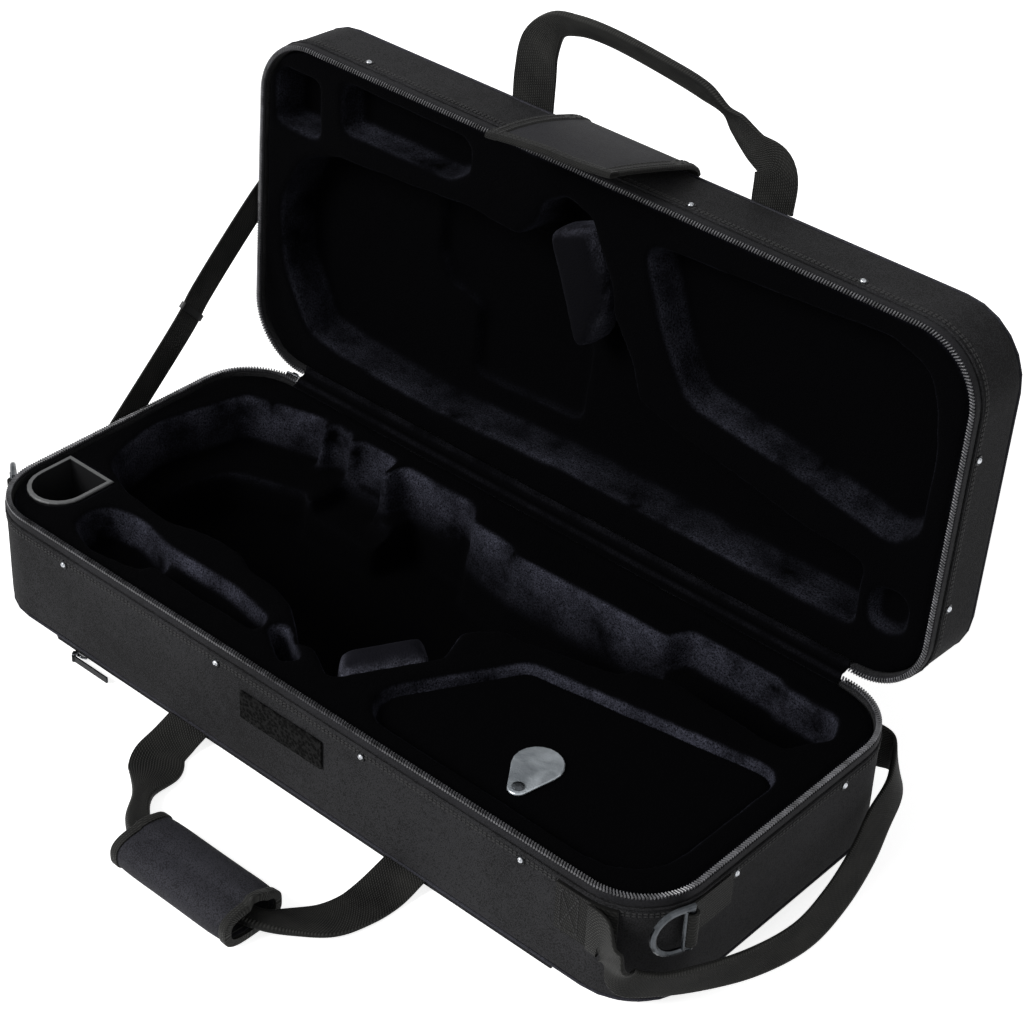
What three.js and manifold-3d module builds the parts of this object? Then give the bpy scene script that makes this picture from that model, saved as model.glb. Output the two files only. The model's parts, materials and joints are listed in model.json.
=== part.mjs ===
// Alto saxophone case, standing open: two board halves covered in fabric, lined with moulded plush.
// Millimetres, +Z up, x along the case, y from the front wall to the hinges, z from the underside.
import * as THREE from "three";
import { mergeVertices } from "three/addons/utils/BufferGeometryUtils.js";
import Module from "manifold-3d";

// Driving dimensions of the case
const caseLength = 635;
const caseDepth = 272;
const baseHeight = 101;
const lidHeight = 64;
const cornerRadius = 50;
const edgeRadius = 14;
const boardThickness = 5;
const openAngle = 93;
const hingeBehind = 1.4;
const hingeBelowRim = 1.3;

// Clearances
const seat = 0.3;
const rimGap = 0.6;
const overrun = 4;

// Seams and main zipper
const pipingRadius = 1;
const pipingAngle = 20;
const grooveDepth = 1.4;
const grooveHalf = 1.8;
const beadDrop = 10;
const tapeHeight = 4.4;
const tapeThickness = 1;
const coilHeight = 3.3;
const coilWidth = 4.5;
const zipperFromHinge = 3;

// Liners
const linerDrop = 4;
const linerEdge = 3;
const pocketRadius = 12;
const pocketDraft = 2.5;
const pocketLip = 2.5;
const backRibHeight = 2.2;

// Mouthpiece tube
const tubeInset = 33.5;
const tubeX = tubeInset - caseLength / 2;
const tubeStart = 25.5;
const tubeLength = 55;
const tubeRadius = 24.5;
const tubeWall = 3.6;
const tubeDepth = 72;
const tubeFloor = 4;
const tubeProud = 1;

// Accessory compartment
const panelDrop = 7;
const panelBoard = 6;
const panelClearance = 1.2;
const ledgeWidth = 8;
const compartmentDepth = 68;

// Pull tab on the accessory panel
const tabX = 175;
const tabStart = 35;
const tabLength = 51;
const tabNarrow = 7;
const tabWide = 17.5;
const tabThickness = 2;
const tabTurn = 12;
const rivetRadius = 4.5;
const rivetHeight = 1.4;

// Webbing
const webWidth = 38;
const webThickness = 2.2;
const seamAngle = 35;

// Handles
const baseHandleSpan = 215;
const baseHandleLeft = -101.5;
const handleReach = 120;
const wrapLength = 111;
const wrapWidth = 50;
const wrapHeight = 27;
const wrapWall = 4;
const wrapLeft = -30;
const wrapNear = 78;
const wrapBinding = 7;
const lidHandleSpan = 216;
const lidHandleLeft = -105;
const lidHandleReach = 72;
const endHandleInset = 31.5;
const endHandleX = caseLength / 2 - endHandleInset;
const endHandleZ = 69;
const endHandleReach = 67;
const patchLength = 45;
const patchHeight = 38;
const patchOverlap = 4;
const patchEnd = endHandleX + patchOverlap;
const rearDrop = 16.5;
const patchThickness = 2.2;

// D-rings and their keepers
const ringWire = 2.25;
const ringHeight = 38;
const ringReach = 29;
const rightRingY = 34;
const leftRingY = 37;
const ringZ = 76;
const rightLean = 21;
const leftLean = -128;
const keeperHeight = 26;
const keeperToStud = 1.4;
const keeperThickness = 2;
const keeperBore = 0.5;

// Closing flap and touch fastener
const flapLeft = -56;
const flapWidth = 106;
const flapLength = 112;
const flapThickness = 2.4;
const flapBinding = 9;
const bindingThickness = 3.6;
const flapStandOff = 5.4;
const flapLift = 15;
const loopLeft = -39;
const loopLength = 78.5;
const loopLow = 51;
const loopHeight = 24;
const loopThickness = 1.6;
const hookHeight = 19;
const hookLow = 58;

// Studs
const studRadius = 3.6;
const studHeight = 2;
const studFromRim = 17;
const frontStud_shares = [-0.349, -0.0995, 0.118, 0.337];
const endStud_shares = [0.309, 0.728];

// Hinges
const hingeInset = 106.5;
const hingeX = caseLength / 2 - hingeInset;
const hingeLength = 96;
const hingeKnuckles = 5;
const knuckleRadius = 2.2;
const knuckleGap = 0.6;
const pinRadius = 1.05;
const pinClearance = 0.3;
const leafThickness = 1.1;
const leafHeight = 22;
const gussetThickness = 0.8;
const gussetGap = 10;
const gussetSpan = 2 * hingeX - hingeLength - gussetGap;
const gussetDrop = 27;

// Stay strap between the left ends
const stayWidth = 25;
const stayThickness = 1.8;
const stayLowY = 108;
const stayLowZ = 61.7;
const stayHighY = 322;
const stayHighZ = 258;
const stayPatch = 22;
const stayPatchThickness = 1.2;

// Pocket under the case
const pocketThickness = 3.2;
const pocketInset = 17;
const pocketEdge = 3;
const pocketZipLength = 480;
const pocketZipAngle = 52;
const pocketTapeHalf = 2.6;
const pocketCoil = 1.3;
const pocketSliderFromEnd = 25;
const pocketSliderX = pocketSliderFromEnd - pocketZipLength / 2;
const pocketSliderLength = 11;
const pocketSliderWidth = 7.5;
const pocketPullLength = 36;

// Zipper slider parked behind the left hinge
const sliderLength = 12;
const sliderHeight = 6.2;
const parkAngle = 4;
const sliderThickness = 1.8;
const sliderGap = 0.5;
const pullLength = 25;
const pullWidth = 8;
const pullThickness = 1.5;
const pullEye = 2.2;

// Numbers of steps in arcs and sweeps
const cornerSteps = 6;
const arcStep = THREE.MathUtils.degToRad(24);
const roundSteps = 12;

const wasm = await Module();
wasm.setup();
const radians = THREE.MathUtils.degToRad;
const vec = (x, y, z) => new THREE.Vector3(x, y, z);

// The two halves share one set of functions: heights count from the big face towards the rim
const baseHalf = {
  face: pocketThickness + seat,
  toRim: 1,
  height: baseHeight - rimGap / 2 - pocketThickness - seat,
};
const lidHalf = { face: baseHeight + lidHeight, toRim: -1, height: lidHeight - rimGap / 2 };
const level = (half, height) => half.face + half.toRim * height;
const belowRim = (half, drop) => level(half, half.height - drop);

const hingeY = caseDepth + hingeBehind;
const hingeZ = baseHeight - hingeBelowRim;
const seamOffset = bindingThickness / 2 + seat;
const ringBarX = caseLength / 2 + seat + ringWire + keeperBore + keeperThickness;
const zipperReach = hingeX + hingeLength / 2 + zipperFromHinge;
const keeperEnd = endStud_shares[0] * caseDepth - studRadius - keeperToStud;

const materials = {
  shellFabric: finish(0x2b2b2c, 0.85, 0),
  plush: finish(0x101014, 0.95, 0),
  webbing: finish(0x1d1d1b, 0.8, 0),
  wrapFabric: finish(0x2c2c30, 0.85, 0),
  zipperTape: finish(0x222222, 0.7, 0),
  nickel: finish(0xb9bbbe, 0.25, 1),
  castMetal: finish(0x8a8f92, 0.35, 1),
  greyPlastic: finish(0x6d6f70, 0.5, 0),
  leather: finish(0x9aa0a4, 0.45, 0),
};

function finish(color, roughness, metalness) {
  return new THREE.MeshStandardMaterial({ color, roughness, metalness });
}

// Solid building

function signedVolume(positions, indices) {
  const [a, b, c] = [vec(0, 0, 0), vec(0, 0, 0), vec(0, 0, 0)];
  let volume = 0;
  for (let i = 0; i < indices.length; i += 3) {
    a.fromArray(positions, 3 * indices[i]);
    b.fromArray(positions, 3 * indices[i + 1]);
    c.fromArray(positions, 3 * indices[i + 2]);
    volume += a.dot(b.cross(c)) / 6;
  }
  return volume;
}

function closedGeometry(positions, indices) {
  const order = signedVolume(positions, indices) < 0 ? indices.slice().reverse() : indices;
  const geometry = new THREE.BufferGeometry();
  geometry.setAttribute("position", new THREE.Float32BufferAttribute(positions, 3));
  geometry.setIndex(order);
  return geometry;
}

function capTriangles(ring) {
  const normal = vec(0, 0, 0);
  ring.forEach((p, i) => {
    const q = ring[(i + 1) % ring.length];
    normal.x += (p.y - q.y) * (p.z + q.z);
    normal.y += (p.z - q.z) * (p.x + q.x);
    normal.z += (p.x - q.x) * (p.y + q.y);
  });
  normal.normalize();
  const side = Math.abs(normal.x) < 0.9 ? vec(1, 0, 0) : vec(0, 1, 0);
  const u = side.clone().cross(normal).normalize();
  const v = normal.clone().cross(u);
  const flat = ring.map((p) => new THREE.Vector2(p.dot(u), p.dot(v)));
  return THREE.ShapeUtils.triangulateShape(flat, []).map((face) => {
    const [a, b, c] = face.map((k) => flat[k]);
    const turn = (b.x - a.x) * (c.y - a.y) - (b.y - a.y) * (c.x - a.x);
    return turn > 0 ? face : [face[0], face[2], face[1]];
  });
}

// A skin over rings of equal point count, capped at both ends unless it closes on itself
function skin(rings, closed = false) {
  const count = rings[0].length;
  const positions = rings.flat().flatMap((p) => [p.x, p.y, p.z]);
  const indices = [];
  const spans = closed ? rings.length : rings.length - 1;
  for (let k = 0; k < spans; k++) {
    const low = k * count;
    const high = ((k + 1) % rings.length) * count;
    for (let i = 0; i < count; i++) {
      const j = (i + 1) % count;
      indices.push(low + i, low + j, high + j, low + i, high + j, high + i);
    }
  }
  if (!closed) {
    const last = (rings.length - 1) * count;
    capTriangles(rings[0]).forEach(([a, b, c]) => indices.push(a, c, b));
    capTriangles(rings.at(-1)).forEach(([a, b, c]) => indices.push(last + a, last + b, last + c));
  }
  return closedGeometry(positions, indices);
}

function toSolid(geometry) {
  const bare = geometry.clone();
  bare.deleteAttribute("normal");
  bare.deleteAttribute("uv");
  const merged = mergeVertices(bare, 1e-4);
  return new wasm.Manifold(
    new wasm.Mesh({
      numProp: 3,
      vertProperties: new Float32Array(merged.attributes.position.array),
      triVerts: new Uint32Array(merged.index.array),
    }),
  );
}

function toGeometry(solid) {
  const { vertProperties, triVerts, numProp, numVert } = solid.getMesh();
  const positions = [];
  for (let i = 0; i < numVert; i++) {
    positions.push(...vertProperties.subarray(i * numProp, i * numProp + 3));
  }
  const geometry = new THREE.BufferGeometry();
  geometry.setAttribute("position", new THREE.Float32BufferAttribute(positions, 3));
  geometry.setIndex([...triVerts]);
  return geometry;
}

const cut = (geometry, cutters) =>
  toGeometry(cutters.reduce((solid, cutter) => solid.subtract(toSolid(cutter)), toSolid(geometry)));
const join = (geometries) => toGeometry(geometries.map(toSolid).reduce((a, b) => a.add(b)));

// The plan outline of the case: stations hold an arc centre and the outward direction
function outlineStations(open) {
  const stations = [];
  const half = caseLength / 2 - cornerRadius;
  const signs = [[-1, 1], [-1, -1], [1, -1], [1, 1]];
  signs.forEach(([sx, sy], quarter) => {
    for (let k = 0; k <= cornerSteps; k++) {
      const angle = (Math.PI / 2) * (1 + quarter + k / cornerSteps);
      stations.push({
        x: sx * half,
        y: caseDepth / 2 + sy * (caseDepth / 2 - cornerRadius),
        nx: Math.cos(angle),
        ny: Math.sin(angle),
      });
    }
  });
  if (!open) return stations;
  const end = (x) => ({ x, y: caseDepth - cornerRadius, nx: 0, ny: 1 });
  return [end(-zipperReach), ...stations, end(zipperReach)];
}

const stationPoint = (s, inset, z) =>
  vec(s.x + s.nx * (cornerRadius - inset), s.y + s.ny * (cornerRadius - inset), z);

// Plates and trays: a stack of rings, each at an inset from the outline and a level
const stack = (profile) =>
  skin(profile.map(([inset, z]) => outlineStations(false).map((s) => stationPoint(s, inset, z))));

// Trims that run round the case: one section carried along the outline
function trim(section, open) {
  const rings = outlineStations(open).map((s) => section.map(([inset, z]) => stationPoint(s, inset, z)));
  return skin(rings, !open);
}

const roundSection = (inset, z, radius, sides) =>
  Array.from({ length: sides }, (_, k) => {
    const angle = (2 * Math.PI * (k + 0.5)) / sides;
    return [inset + radius * Math.cos(angle), z + radius * Math.sin(angle)];
  });

// A point of the rounded edge between wall and big face; the angle counts from the wall
const edgePoint = (radius, degrees) => [
  edgeRadius - radius * Math.cos(radians(degrees)),
  edgeRadius - radius * Math.sin(radians(degrees)),
];

function shell(half) {
  const notch = radians(1) * edgeRadius;
  const spread = grooveHalf / notch;
  const bead = half.height - beadDrop;
  const rim = half.height - coilHeight - seat;
  const step = half.height - tapeHeight - coilHeight;
  const inner = edgeRadius - boardThickness;
  const outside = [
    ...[90, 70, 52].map((a) => edgePoint(edgeRadius, a)),
    edgePoint(edgeRadius, pipingAngle + spread),
    edgePoint(edgeRadius - grooveDepth, pipingAngle),
    edgePoint(edgeRadius, pipingAngle - spread),
    [0, edgeRadius],
    [0, bead - grooveHalf],
    [grooveDepth, bead],
    [0, bead + grooveHalf],
    [0, step - seat],
    [tapeThickness + seat, step - seat],
    [tapeThickness + seat, rim],
  ];
  const inside = [
    [boardThickness, rim],
    [boardThickness, edgeRadius],
    ...[30, 60, 90].map((a) => edgePoint(inner, a)),
  ];
  return stack([...outside, ...inside].map(([inset, h]) => [inset, level(half, h)]));
}

function zipperTape(half) {
  const tip = half.height;
  const shoulder = tip - coilHeight;
  const section = [
    [0, shoulder - tapeHeight],
    [tapeThickness, shoulder - tapeHeight],
    [tapeThickness, shoulder],
    [coilWidth, shoulder],
    [coilWidth + seat, shoulder + coilHeight / 2],
    [coilWidth, tip - seat],
    [coilWidth / 2, tip],
    [seat, tip - seat],
    [0, shoulder + coilHeight / 2],
  ];
  return trim(section.map(([inset, h]) => [inset, level(half, h)]), true);
}

function seamBead(half) {
  return trim(roundSection(seat - pipingRadius / 2, belowRim(half, beadDrop), pipingRadius, 6), true);
}

function edgePiping(half) {
  const [inset, h] = edgePoint(edgeRadius + seat, pipingAngle);
  return trim(roundSection(inset, level(half, h), pipingRadius, 6), false);
}

// Pockets of the liners: outlines of [x share, y share, radius share] with rounded corners
const toCorners = (shares) =>
  shares.map(([u, v, r]) => ({ x: u * caseLength, y: v * caseDepth, radius: (r ?? 0.4) * pocketRadius }));

function crossing({ p, d }, { p: q, d: e }) {
  const t = ((q.x - p.x) * e.y - (q.y - p.y) * e.x) / (d.x * e.y - d.y * e.x);
  return { x: p.x + d.x * t, y: p.y + d.y * t };
}

// The outline moved outwards by an offset, each corner rounded by an arc of a fixed count of steps
function outlineRing(corners, offset, z) {
  const count = corners.length;
  const at = (list, i) => list[(i + count) % count];
  const turned = (c, next) => c.x * next.y - c.y * next.x;
  const side = Math.sign(corners.reduce((sum, c, i) => sum + turned(c, at(corners, i + 1)), 0));
  const edges = corners.map((c, i) => {
    const next = at(corners, i + 1);
    const length = Math.hypot(next.x - c.x, next.y - c.y);
    const d = { x: (next.x - c.x) / length, y: (next.y - c.y) / length };
    return { d, p: { x: c.x + d.y * side * offset, y: c.y - d.x * side * offset } };
  });
  const tips = edges.map((edge, i) => crossing(at(edges, i - 1), edge));
  const gap = (a, b) => Math.hypot(a.x - b.x, a.y - b.y);
  return corners.flatMap((corner, i) => {
    const before = at(edges, i - 1).d;
    const after = edges[i].d;
    const turn = Math.atan2(before.x * after.y - before.y * after.x, before.x * after.x + before.y * after.y);
    const steps = Math.max(1, Math.ceil(Math.abs(turn) / arcStep));
    const wanted = Math.max(corner.radius + Math.sign(turn) * side * offset, seat);
    const slope = Math.tan(Math.abs(turn) / 2);
    const room = 0.48 * Math.min(gap(tips[i], at(tips, i - 1)), gap(tips[i], at(tips, i + 1)));
    const reach = Math.min(wanted * slope, room);
    const radius = (reach / slope) * Math.sign(turn);
    const start = { x: tips[i].x - before.x * reach, y: tips[i].y - before.y * reach };
    const centre = { x: start.x - before.y * radius, y: start.y + before.x * radius };
    return Array.from({ length: steps + 1 }, (_, k) => {
      const angle = (turn * k) / steps;
      const dx = start.x - centre.x;
      const dy = start.y - centre.y;
      return vec(
        centre.x + dx * Math.cos(angle) - dy * Math.sin(angle),
        centre.y + dx * Math.sin(angle) + dy * Math.cos(angle),
        z,
      );
    });
  });
}

// The space of one pocket, with a soft lip at its mouth and drafted walls
function pocket(half, shares, depth, { draft = pocketDraft, lip = pocketLip, mouth = linerDrop } = {}) {
  const corners = toCorners(shares);
  const z = (d) => belowRim(half, mouth + d);
  return skin([
    outlineRing(corners, lip, z(-overrun)),
    outlineRing(corners, lip, z(0)),
    outlineRing(corners, lip * 0.3, z(lip * 0.3)),
    outlineRing(corners, 0, z(lip)),
    outlineRing(corners, -draft, z(depth)),
  ]);
}

function plainPrism(corners, offset, low, high) {
  return skin([outlineRing(corners, offset, low), outlineRing(corners, offset, high)]);
}

function linerBlock(half) {
  const inner = edgeRadius - boardThickness - seat;
  const top = half.height - linerDrop;
  const wall = boardThickness + seat;
  const profile = [
    ...[90, 60, 30].map((a) => edgePoint(inner, a)),
    [wall, edgeRadius],
    [wall, top - linerEdge],
    [wall + linerEdge * 0.3, top - linerEdge * 0.3],
    [wall + linerEdge, top],
  ];
  return stack(profile.map(([inset, h]) => [inset, level(half, h)]));
}

const baseMain_shares = [
  [-0.386, 0.298, 1.6], [-0.447, 0.352, 2.2], [-0.47, 0.56, 4.5], [-0.44, 0.85, 0.8],
  [-0.329, 0.923, 0.25], [-0.323, 0.868, 0.2], [-0.317, 0.923, 0.5], [-0.285, 0.923, 0.5],
  [-0.277, 0.864, 0.2], [-0.269, 0.916, 0.35], [-0.21, 0.916, 0.35], [-0.2065, 0.84, 0.15],
  [-0.1985, 0.84, 0.15], [-0.195, 0.909, 0.35], [-0.085, 0.909, 0.4], [-0.063, 0.85, 0.4],
  [0, 0.838, 0.4], [0.014, 0.816, 0.3], [0.236, 0.827, 0.5], [0.25, 0.76, 0.6],
  [0.236, 0.629, 1], [0.157, 0.585, 1.2], [0.12, 0.559, 1], [0.098, 0.559, 0.8],
  [0.066, 0.482, 0.8], [0.082, 0.371, 0.5], [0.019, 0.118, 0.5], [-0.025, 0.175, 0.4],
  [-0.047, 0.165, 0.3], [-0.071, 0.213, 0.4], [-0.098, 0.257, 0.8], [-0.134, 0.283, 1],
  [-0.178, 0.29, 1], [-0.202, 0.316, 0.9], [-0.236, 0.324, 1], [-0.276, 0.309, 1],
  [-0.307, 0.283, 1],
];
const baseDeep_shares = [
  [-0.39, 0.33, 1.2], [-0.412, 0.45, 3], [-0.418, 0.58, 2], [-0.395, 0.7, 1.6],
  [-0.3, 0.775, 0.8], [-0.29, 0.745, 0.4], [-0.18, 0.745, 0.4], [-0.178, 0.9, 0.4],
  [-0.088, 0.9, 0.4], [-0.068, 0.835, 0.4], [0.016, 0.8, 0.5], [0.22, 0.805, 0.6],
  [0.222, 0.655, 0.9], [0.157, 0.61, 1], [0.092, 0.585, 0.9], [0.05, 0.49, 0.7],
  [0.036, 0.44, 0.5], [-0.02, 0.235, 0.5], [-0.05, 0.22, 0.5], [-0.1, 0.285, 0.8],
  [-0.18, 0.325, 0.9], [-0.24, 0.35, 0.9], [-0.31, 0.315, 0.9],
];
const baseShelf_shares = [
  [-0.286, 0.72, 0.3], [-0.286, 0.89, 0.4], [-0.212, 0.89, 0.3], [-0.208, 0.82, 0.3],
  [-0.175, 0.82, 0.3], [-0.175, 0.72, 0.3],
];
const baseChannel_shares = [
  [0.205, 0.75, 0.4], [0.225, 0.8, 0.4], [0.245, 0.893, 0.4], [0.365, 0.893, 0.3],
  [0.37, 0.875, 0.3], [0.444, 0.875, 0.6], [0.461, 0.798, 0.7], [0.441, 0.735, 0.6],
  [0.433, 0.691, 0.5], [0.402, 0.688, 0.5], [0.283, 0.706, 0.5], [0.25, 0.67, 0.6],
];
const baseFrontPocket_shares = [
  [-0.383, 0.1, 1.4], [-0.383, 0.215, 1.3], [-0.33, 0.235, 1], [-0.262, 0.2, 0.8],
  [-0.26, 0.09, 0.8], [-0.33, 0.058, 1],
];
const baseTrough_shares = [
  [-0.29, 0.13, 0.6], [-0.28, 0.205, 0.8], [-0.17, 0.21, 1], [-0.1, 0.18, 0.9],
  [-0.09, 0.12, 0.7], [-0.19, 0.115, 1],
];
const baseSlot_shares = [
  [-0.09, 0.155, 0.4], [-0.075, 0.192, 0.4], [-0.022, 0.121, 0.4], [-0.038, 0.08, 0.4],
];
const accessory_shares = [
  [0.049, 0.083, 2.1], [0.155, 0.506, 1.1], [0.458, 0.617, 1.2], [0.458, 0.08, 3.6],
];
const baseBolster_shares = [
  [-0.014, 0.225, 0.4], [0.035, 0.428, 0.4], [0.0725, 0.367, 0.4], [0.016, 0.14, 0.4],
];

const lidMain_shares = [
  [-0.378, 0.287, 1.4], [-0.433, 0.34, 2], [-0.465, 0.49, 4], [-0.457, 0.68, 3.4],
  [-0.413, 0.86, 0.9], [-0.354, 0.88, 0.6], [-0.205, 0.897, 1], [0, 0.871, 1],
  [0.403, 0.875, 0.5], [0.403, 0.69, 0.5], [0.315, 0.673, 1.2], [0.236, 0.632, 1.2],
  [0.157, 0.599, 1.2], [0.092, 0.558, 0.9], [0.078, 0.46, 0.7], [0.046, 0.352, 0.5],
  [0.04, 0.278, 0.5], [0.005, 0.125, 0.4], [-0.031, 0.1, 0.4], [-0.058, 0.132, 0.4],
  [-0.07, 0.21, 0.5], [-0.097, 0.266, 0.7], [-0.165, 0.25, 1], [-0.26, 0.268, 1],
];
const lidDeep_shares = [
  [-0.255, 0.31, 0.6], [-0.255, 0.5, 0.7], [-0.235, 0.58, 0.7], [-0.19, 0.6, 0.7],
  [-0.19, 0.82, 0.8], [-0.02, 0.8, 0.8], [-0.012, 0.58, 0.6], [-0.075, 0.25, 0.6],
  [-0.1, 0.3, 0.8], [-0.165, 0.285, 0.9],
];
const lidTubePocket_shares = [
  [-0.477, 0.11, 0.5], [-0.47, 0.092, 0.6], [-0.408, 0.092, 0.6], [-0.406, 0.261, 0.5],
  [-0.477, 0.261, 0.5],
];
const lidLongPocket_shares = [
  [-0.37, 0.06, 0.7], [-0.37, 0.2, 0.6], [-0.2, 0.195, 0.9], [-0.17, 0.15, 0.9],
  [-0.175, 0.065, 0.8],
];
const lidSlopePocket_shares = [
  [0.078, 0.125, 0.9], [0.118, 0.349, 0.8], [0.153, 0.478, 0.8], [0.17, 0.5, 0.7],
  [0.283, 0.537, 1], [0.433, 0.599, 0.9], [0.461, 0.54, 1.1], [0.463, 0.331, 1.4],
  [0.453, 0.2, 1.4], [0.44, 0.12, 1.6], [0.39, 0.08, 1.1],
];
const lidEndPocket_shares = [
  [0.42, 0.735, 0.8], [0.42, 0.85, 0.8], [0.466, 0.84, 1], [0.466, 0.72, 1],
];
const lidBolster_shares = [
  [-0.062, 0.21, 0.5], [-0.006, 0.526, 0.4], [0.018, 0.489, 0.4], [0.037, 0.35, 0.5],
  [0.03, 0.28, 0.5], [0, 0.15, 0.5],
];

const mainDepth = 38;
const deepDepth = 76;
const shelfDepth = 50;
const channelDepth = 30;
const frontPocketDepth = 27;
const troughDepth = 14;
const slotDepth = 30;
const lidMainDepth = 34;
const lidDeepDepth = 42;
const lidTubeDepth = 28;
const lidLongDepth = 22;
const lidSlopeDepth = 26;
const lidEndDepth = 12;

// The U-shaped outline of the mouthpiece tube, moved outwards by an offset
function tubeRing(offset, z) {
  const radius = tubeRadius + offset;
  const centreY = tubeStart + tubeRadius;
  const ring = [];
  for (let k = 0; k <= roundSteps; k++) {
    const angle = Math.PI * (1 + k / roundSteps);
    ring.push(vec(tubeX + radius * Math.cos(angle), centreY + radius * Math.sin(angle), z));
  }
  const back = tubeStart + tubeLength + offset;
  ring.push(vec(tubeX + radius, back, z), vec(tubeX - radius, back, z));
  return ring;
}

function mouthpieceTube() {
  const top = belowRim(baseHalf, linerDrop - tubeProud);
  const bottom = top - tubeDepth;
  return skin([
    tubeRing(-tubeFloor, bottom),
    tubeRing(0, bottom + tubeFloor),
    tubeRing(0, top - tubeProud),
    tubeRing(-tubeProud, top),
    tubeRing(-tubeWall, top),
    tubeRing(-tubeWall, bottom + tubeFloor),
  ]);
}

function baseLiner() {
  const top = belowRim(baseHalf, linerDrop);
  const tubeBottom = top + tubeProud - tubeDepth - seat;
  const rib_shares = [[0, 0], [0.4, 1], [2.4, 1], [3, 0]];
  const rib = skin(
    rib_shares.map(([inset, rise]) => {
      const y = caseDepth - boardThickness - seat - linerEdge - inset * backRibHeight;
      const x = caseLength / 2 - cornerRadius - inset * backRibHeight;
      const sole = top - backRibHeight;
      const crest = top + rise * backRibHeight;
      return [vec(-x, y, sole), vec(x, y, sole), vec(x, y, crest), vec(-x, y, crest)];
    }),
  );
  const block = join([linerBlock(baseHalf), rib]);
  return cut(block, [
    pocket(baseHalf, baseMain_shares, mainDepth),
    pocket(baseHalf, baseDeep_shares, deepDepth - mainDepth + pocketLip, {
      mouth: linerDrop + mainDepth - pocketLip,
    }),
    pocket(baseHalf, baseShelf_shares, shelfDepth, { lip: 0 }),
    pocket(baseHalf, baseChannel_shares, channelDepth),
    pocket(baseHalf, baseFrontPocket_shares, frontPocketDepth),
    pocket(baseHalf, baseTrough_shares, troughDepth),
    pocket(baseHalf, baseSlot_shares, slotDepth),
    pocket(baseHalf, accessory_shares, panelDrop + panelBoard + seat, { draft: 0 }),
    plainPrism(
      toCorners(accessory_shares),
      -ledgeWidth,
      top - compartmentDepth,
      top - panelDrop,
    ),
    skin([tubeRing(seat, tubeBottom), tubeRing(seat, top + overrun)]),
  ]);
}

// A plush block with a softly rounded top, standing on a floor
function bolster(shares, low, high, crown) {
  const corners = toCorners(shares);
  const rise = Math.sign(high - low) * crown;
  return skin([
    outlineRing(corners, 0, low),
    outlineRing(corners, 0, high - rise),
    outlineRing(corners, -crown * 0.15, high - rise * 0.5),
    outlineRing(corners, -crown * 0.5, high - rise * 0.14),
    outlineRing(corners, -crown, high),
  ]);
}

function baseBolster() {
  const low = belowRim(baseHalf, linerDrop + mainDepth) + seat;
  return bolster(baseBolster_shares, low, belowRim(baseHalf, linerDrop), pocketRadius);
}

function lidLiner() {
  return cut(linerBlock(lidHalf), [
    pocket(lidHalf, lidMain_shares, lidMainDepth),
    pocket(lidHalf, lidDeep_shares, lidDeepDepth, { lip: 0 }),
    pocket(lidHalf, lidTubePocket_shares, lidTubeDepth),
    pocket(lidHalf, lidLongPocket_shares, lidLongDepth),
    pocket(lidHalf, lidSlopePocket_shares, lidSlopeDepth, { draft: pocketDraft * 2 }),
    pocket(lidHalf, lidEndPocket_shares, lidEndDepth),
  ]);
}

function lidBolster() {
  const floor = belowRim(lidHalf, linerDrop + lidMainDepth) - seat;
  return bolster(lidBolster_shares, floor, belowRim(lidHalf, linerDrop), pocketRadius * 0.7);
}

function accessoryPanel() {
  const top = belowRim(baseHalf, linerDrop + panelDrop);
  const corners = toCorners(accessory_shares);
  const soft = panelBoard * 0.3;
  return skin([
    outlineRing(corners, -panelClearance - soft, top - panelBoard),
    outlineRing(corners, -panelClearance, top - panelBoard + soft),
    outlineRing(corners, -panelClearance, top - soft),
    outlineRing(corners, -panelClearance - soft, top),
  ]);
}

// Teardrop of two arcs, lying on the panel, the narrow end towards the front
function pullTab() {
  const centre = tabLength - tabNarrow - tabWide;
  const lean = Math.asin((tabWide - tabNarrow) / centre);
  const ring = (offset, z) => {
    const points = [];
    const arc = (y, radius, from, to) => {
      for (let k = 0; k <= roundSteps; k++) {
        const angle = from + ((to - from) * k) / roundSteps;
        points.push(vec((radius + offset) * Math.cos(angle), y + (radius + offset) * Math.sin(angle), z));
      }
    };
    arc(tabNarrow, tabNarrow, Math.PI + lean, 2 * Math.PI - lean);
    arc(tabNarrow + centre, tabWide, -lean, Math.PI + lean);
    return points;
  };
  const soft = tabThickness * 0.3;
  return skin([ring(-soft, 0), ring(0, soft), ring(0, tabThickness - soft), ring(-soft, tabThickness)]);
}

// A domed head, the dome towards +z
function dome(radius, height) {
  const profile = [[0, 0], [1, 0], [1, 0.25], [0.8, 0.7], [0.45, 0.95], [0, 1]];
  return new THREE.LatheGeometry(
    profile.map(([r, z]) => new THREE.Vector2(r * radius, z * height)),
    roundSteps - 2,
  ).rotateX(Math.PI / 2);
}

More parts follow.
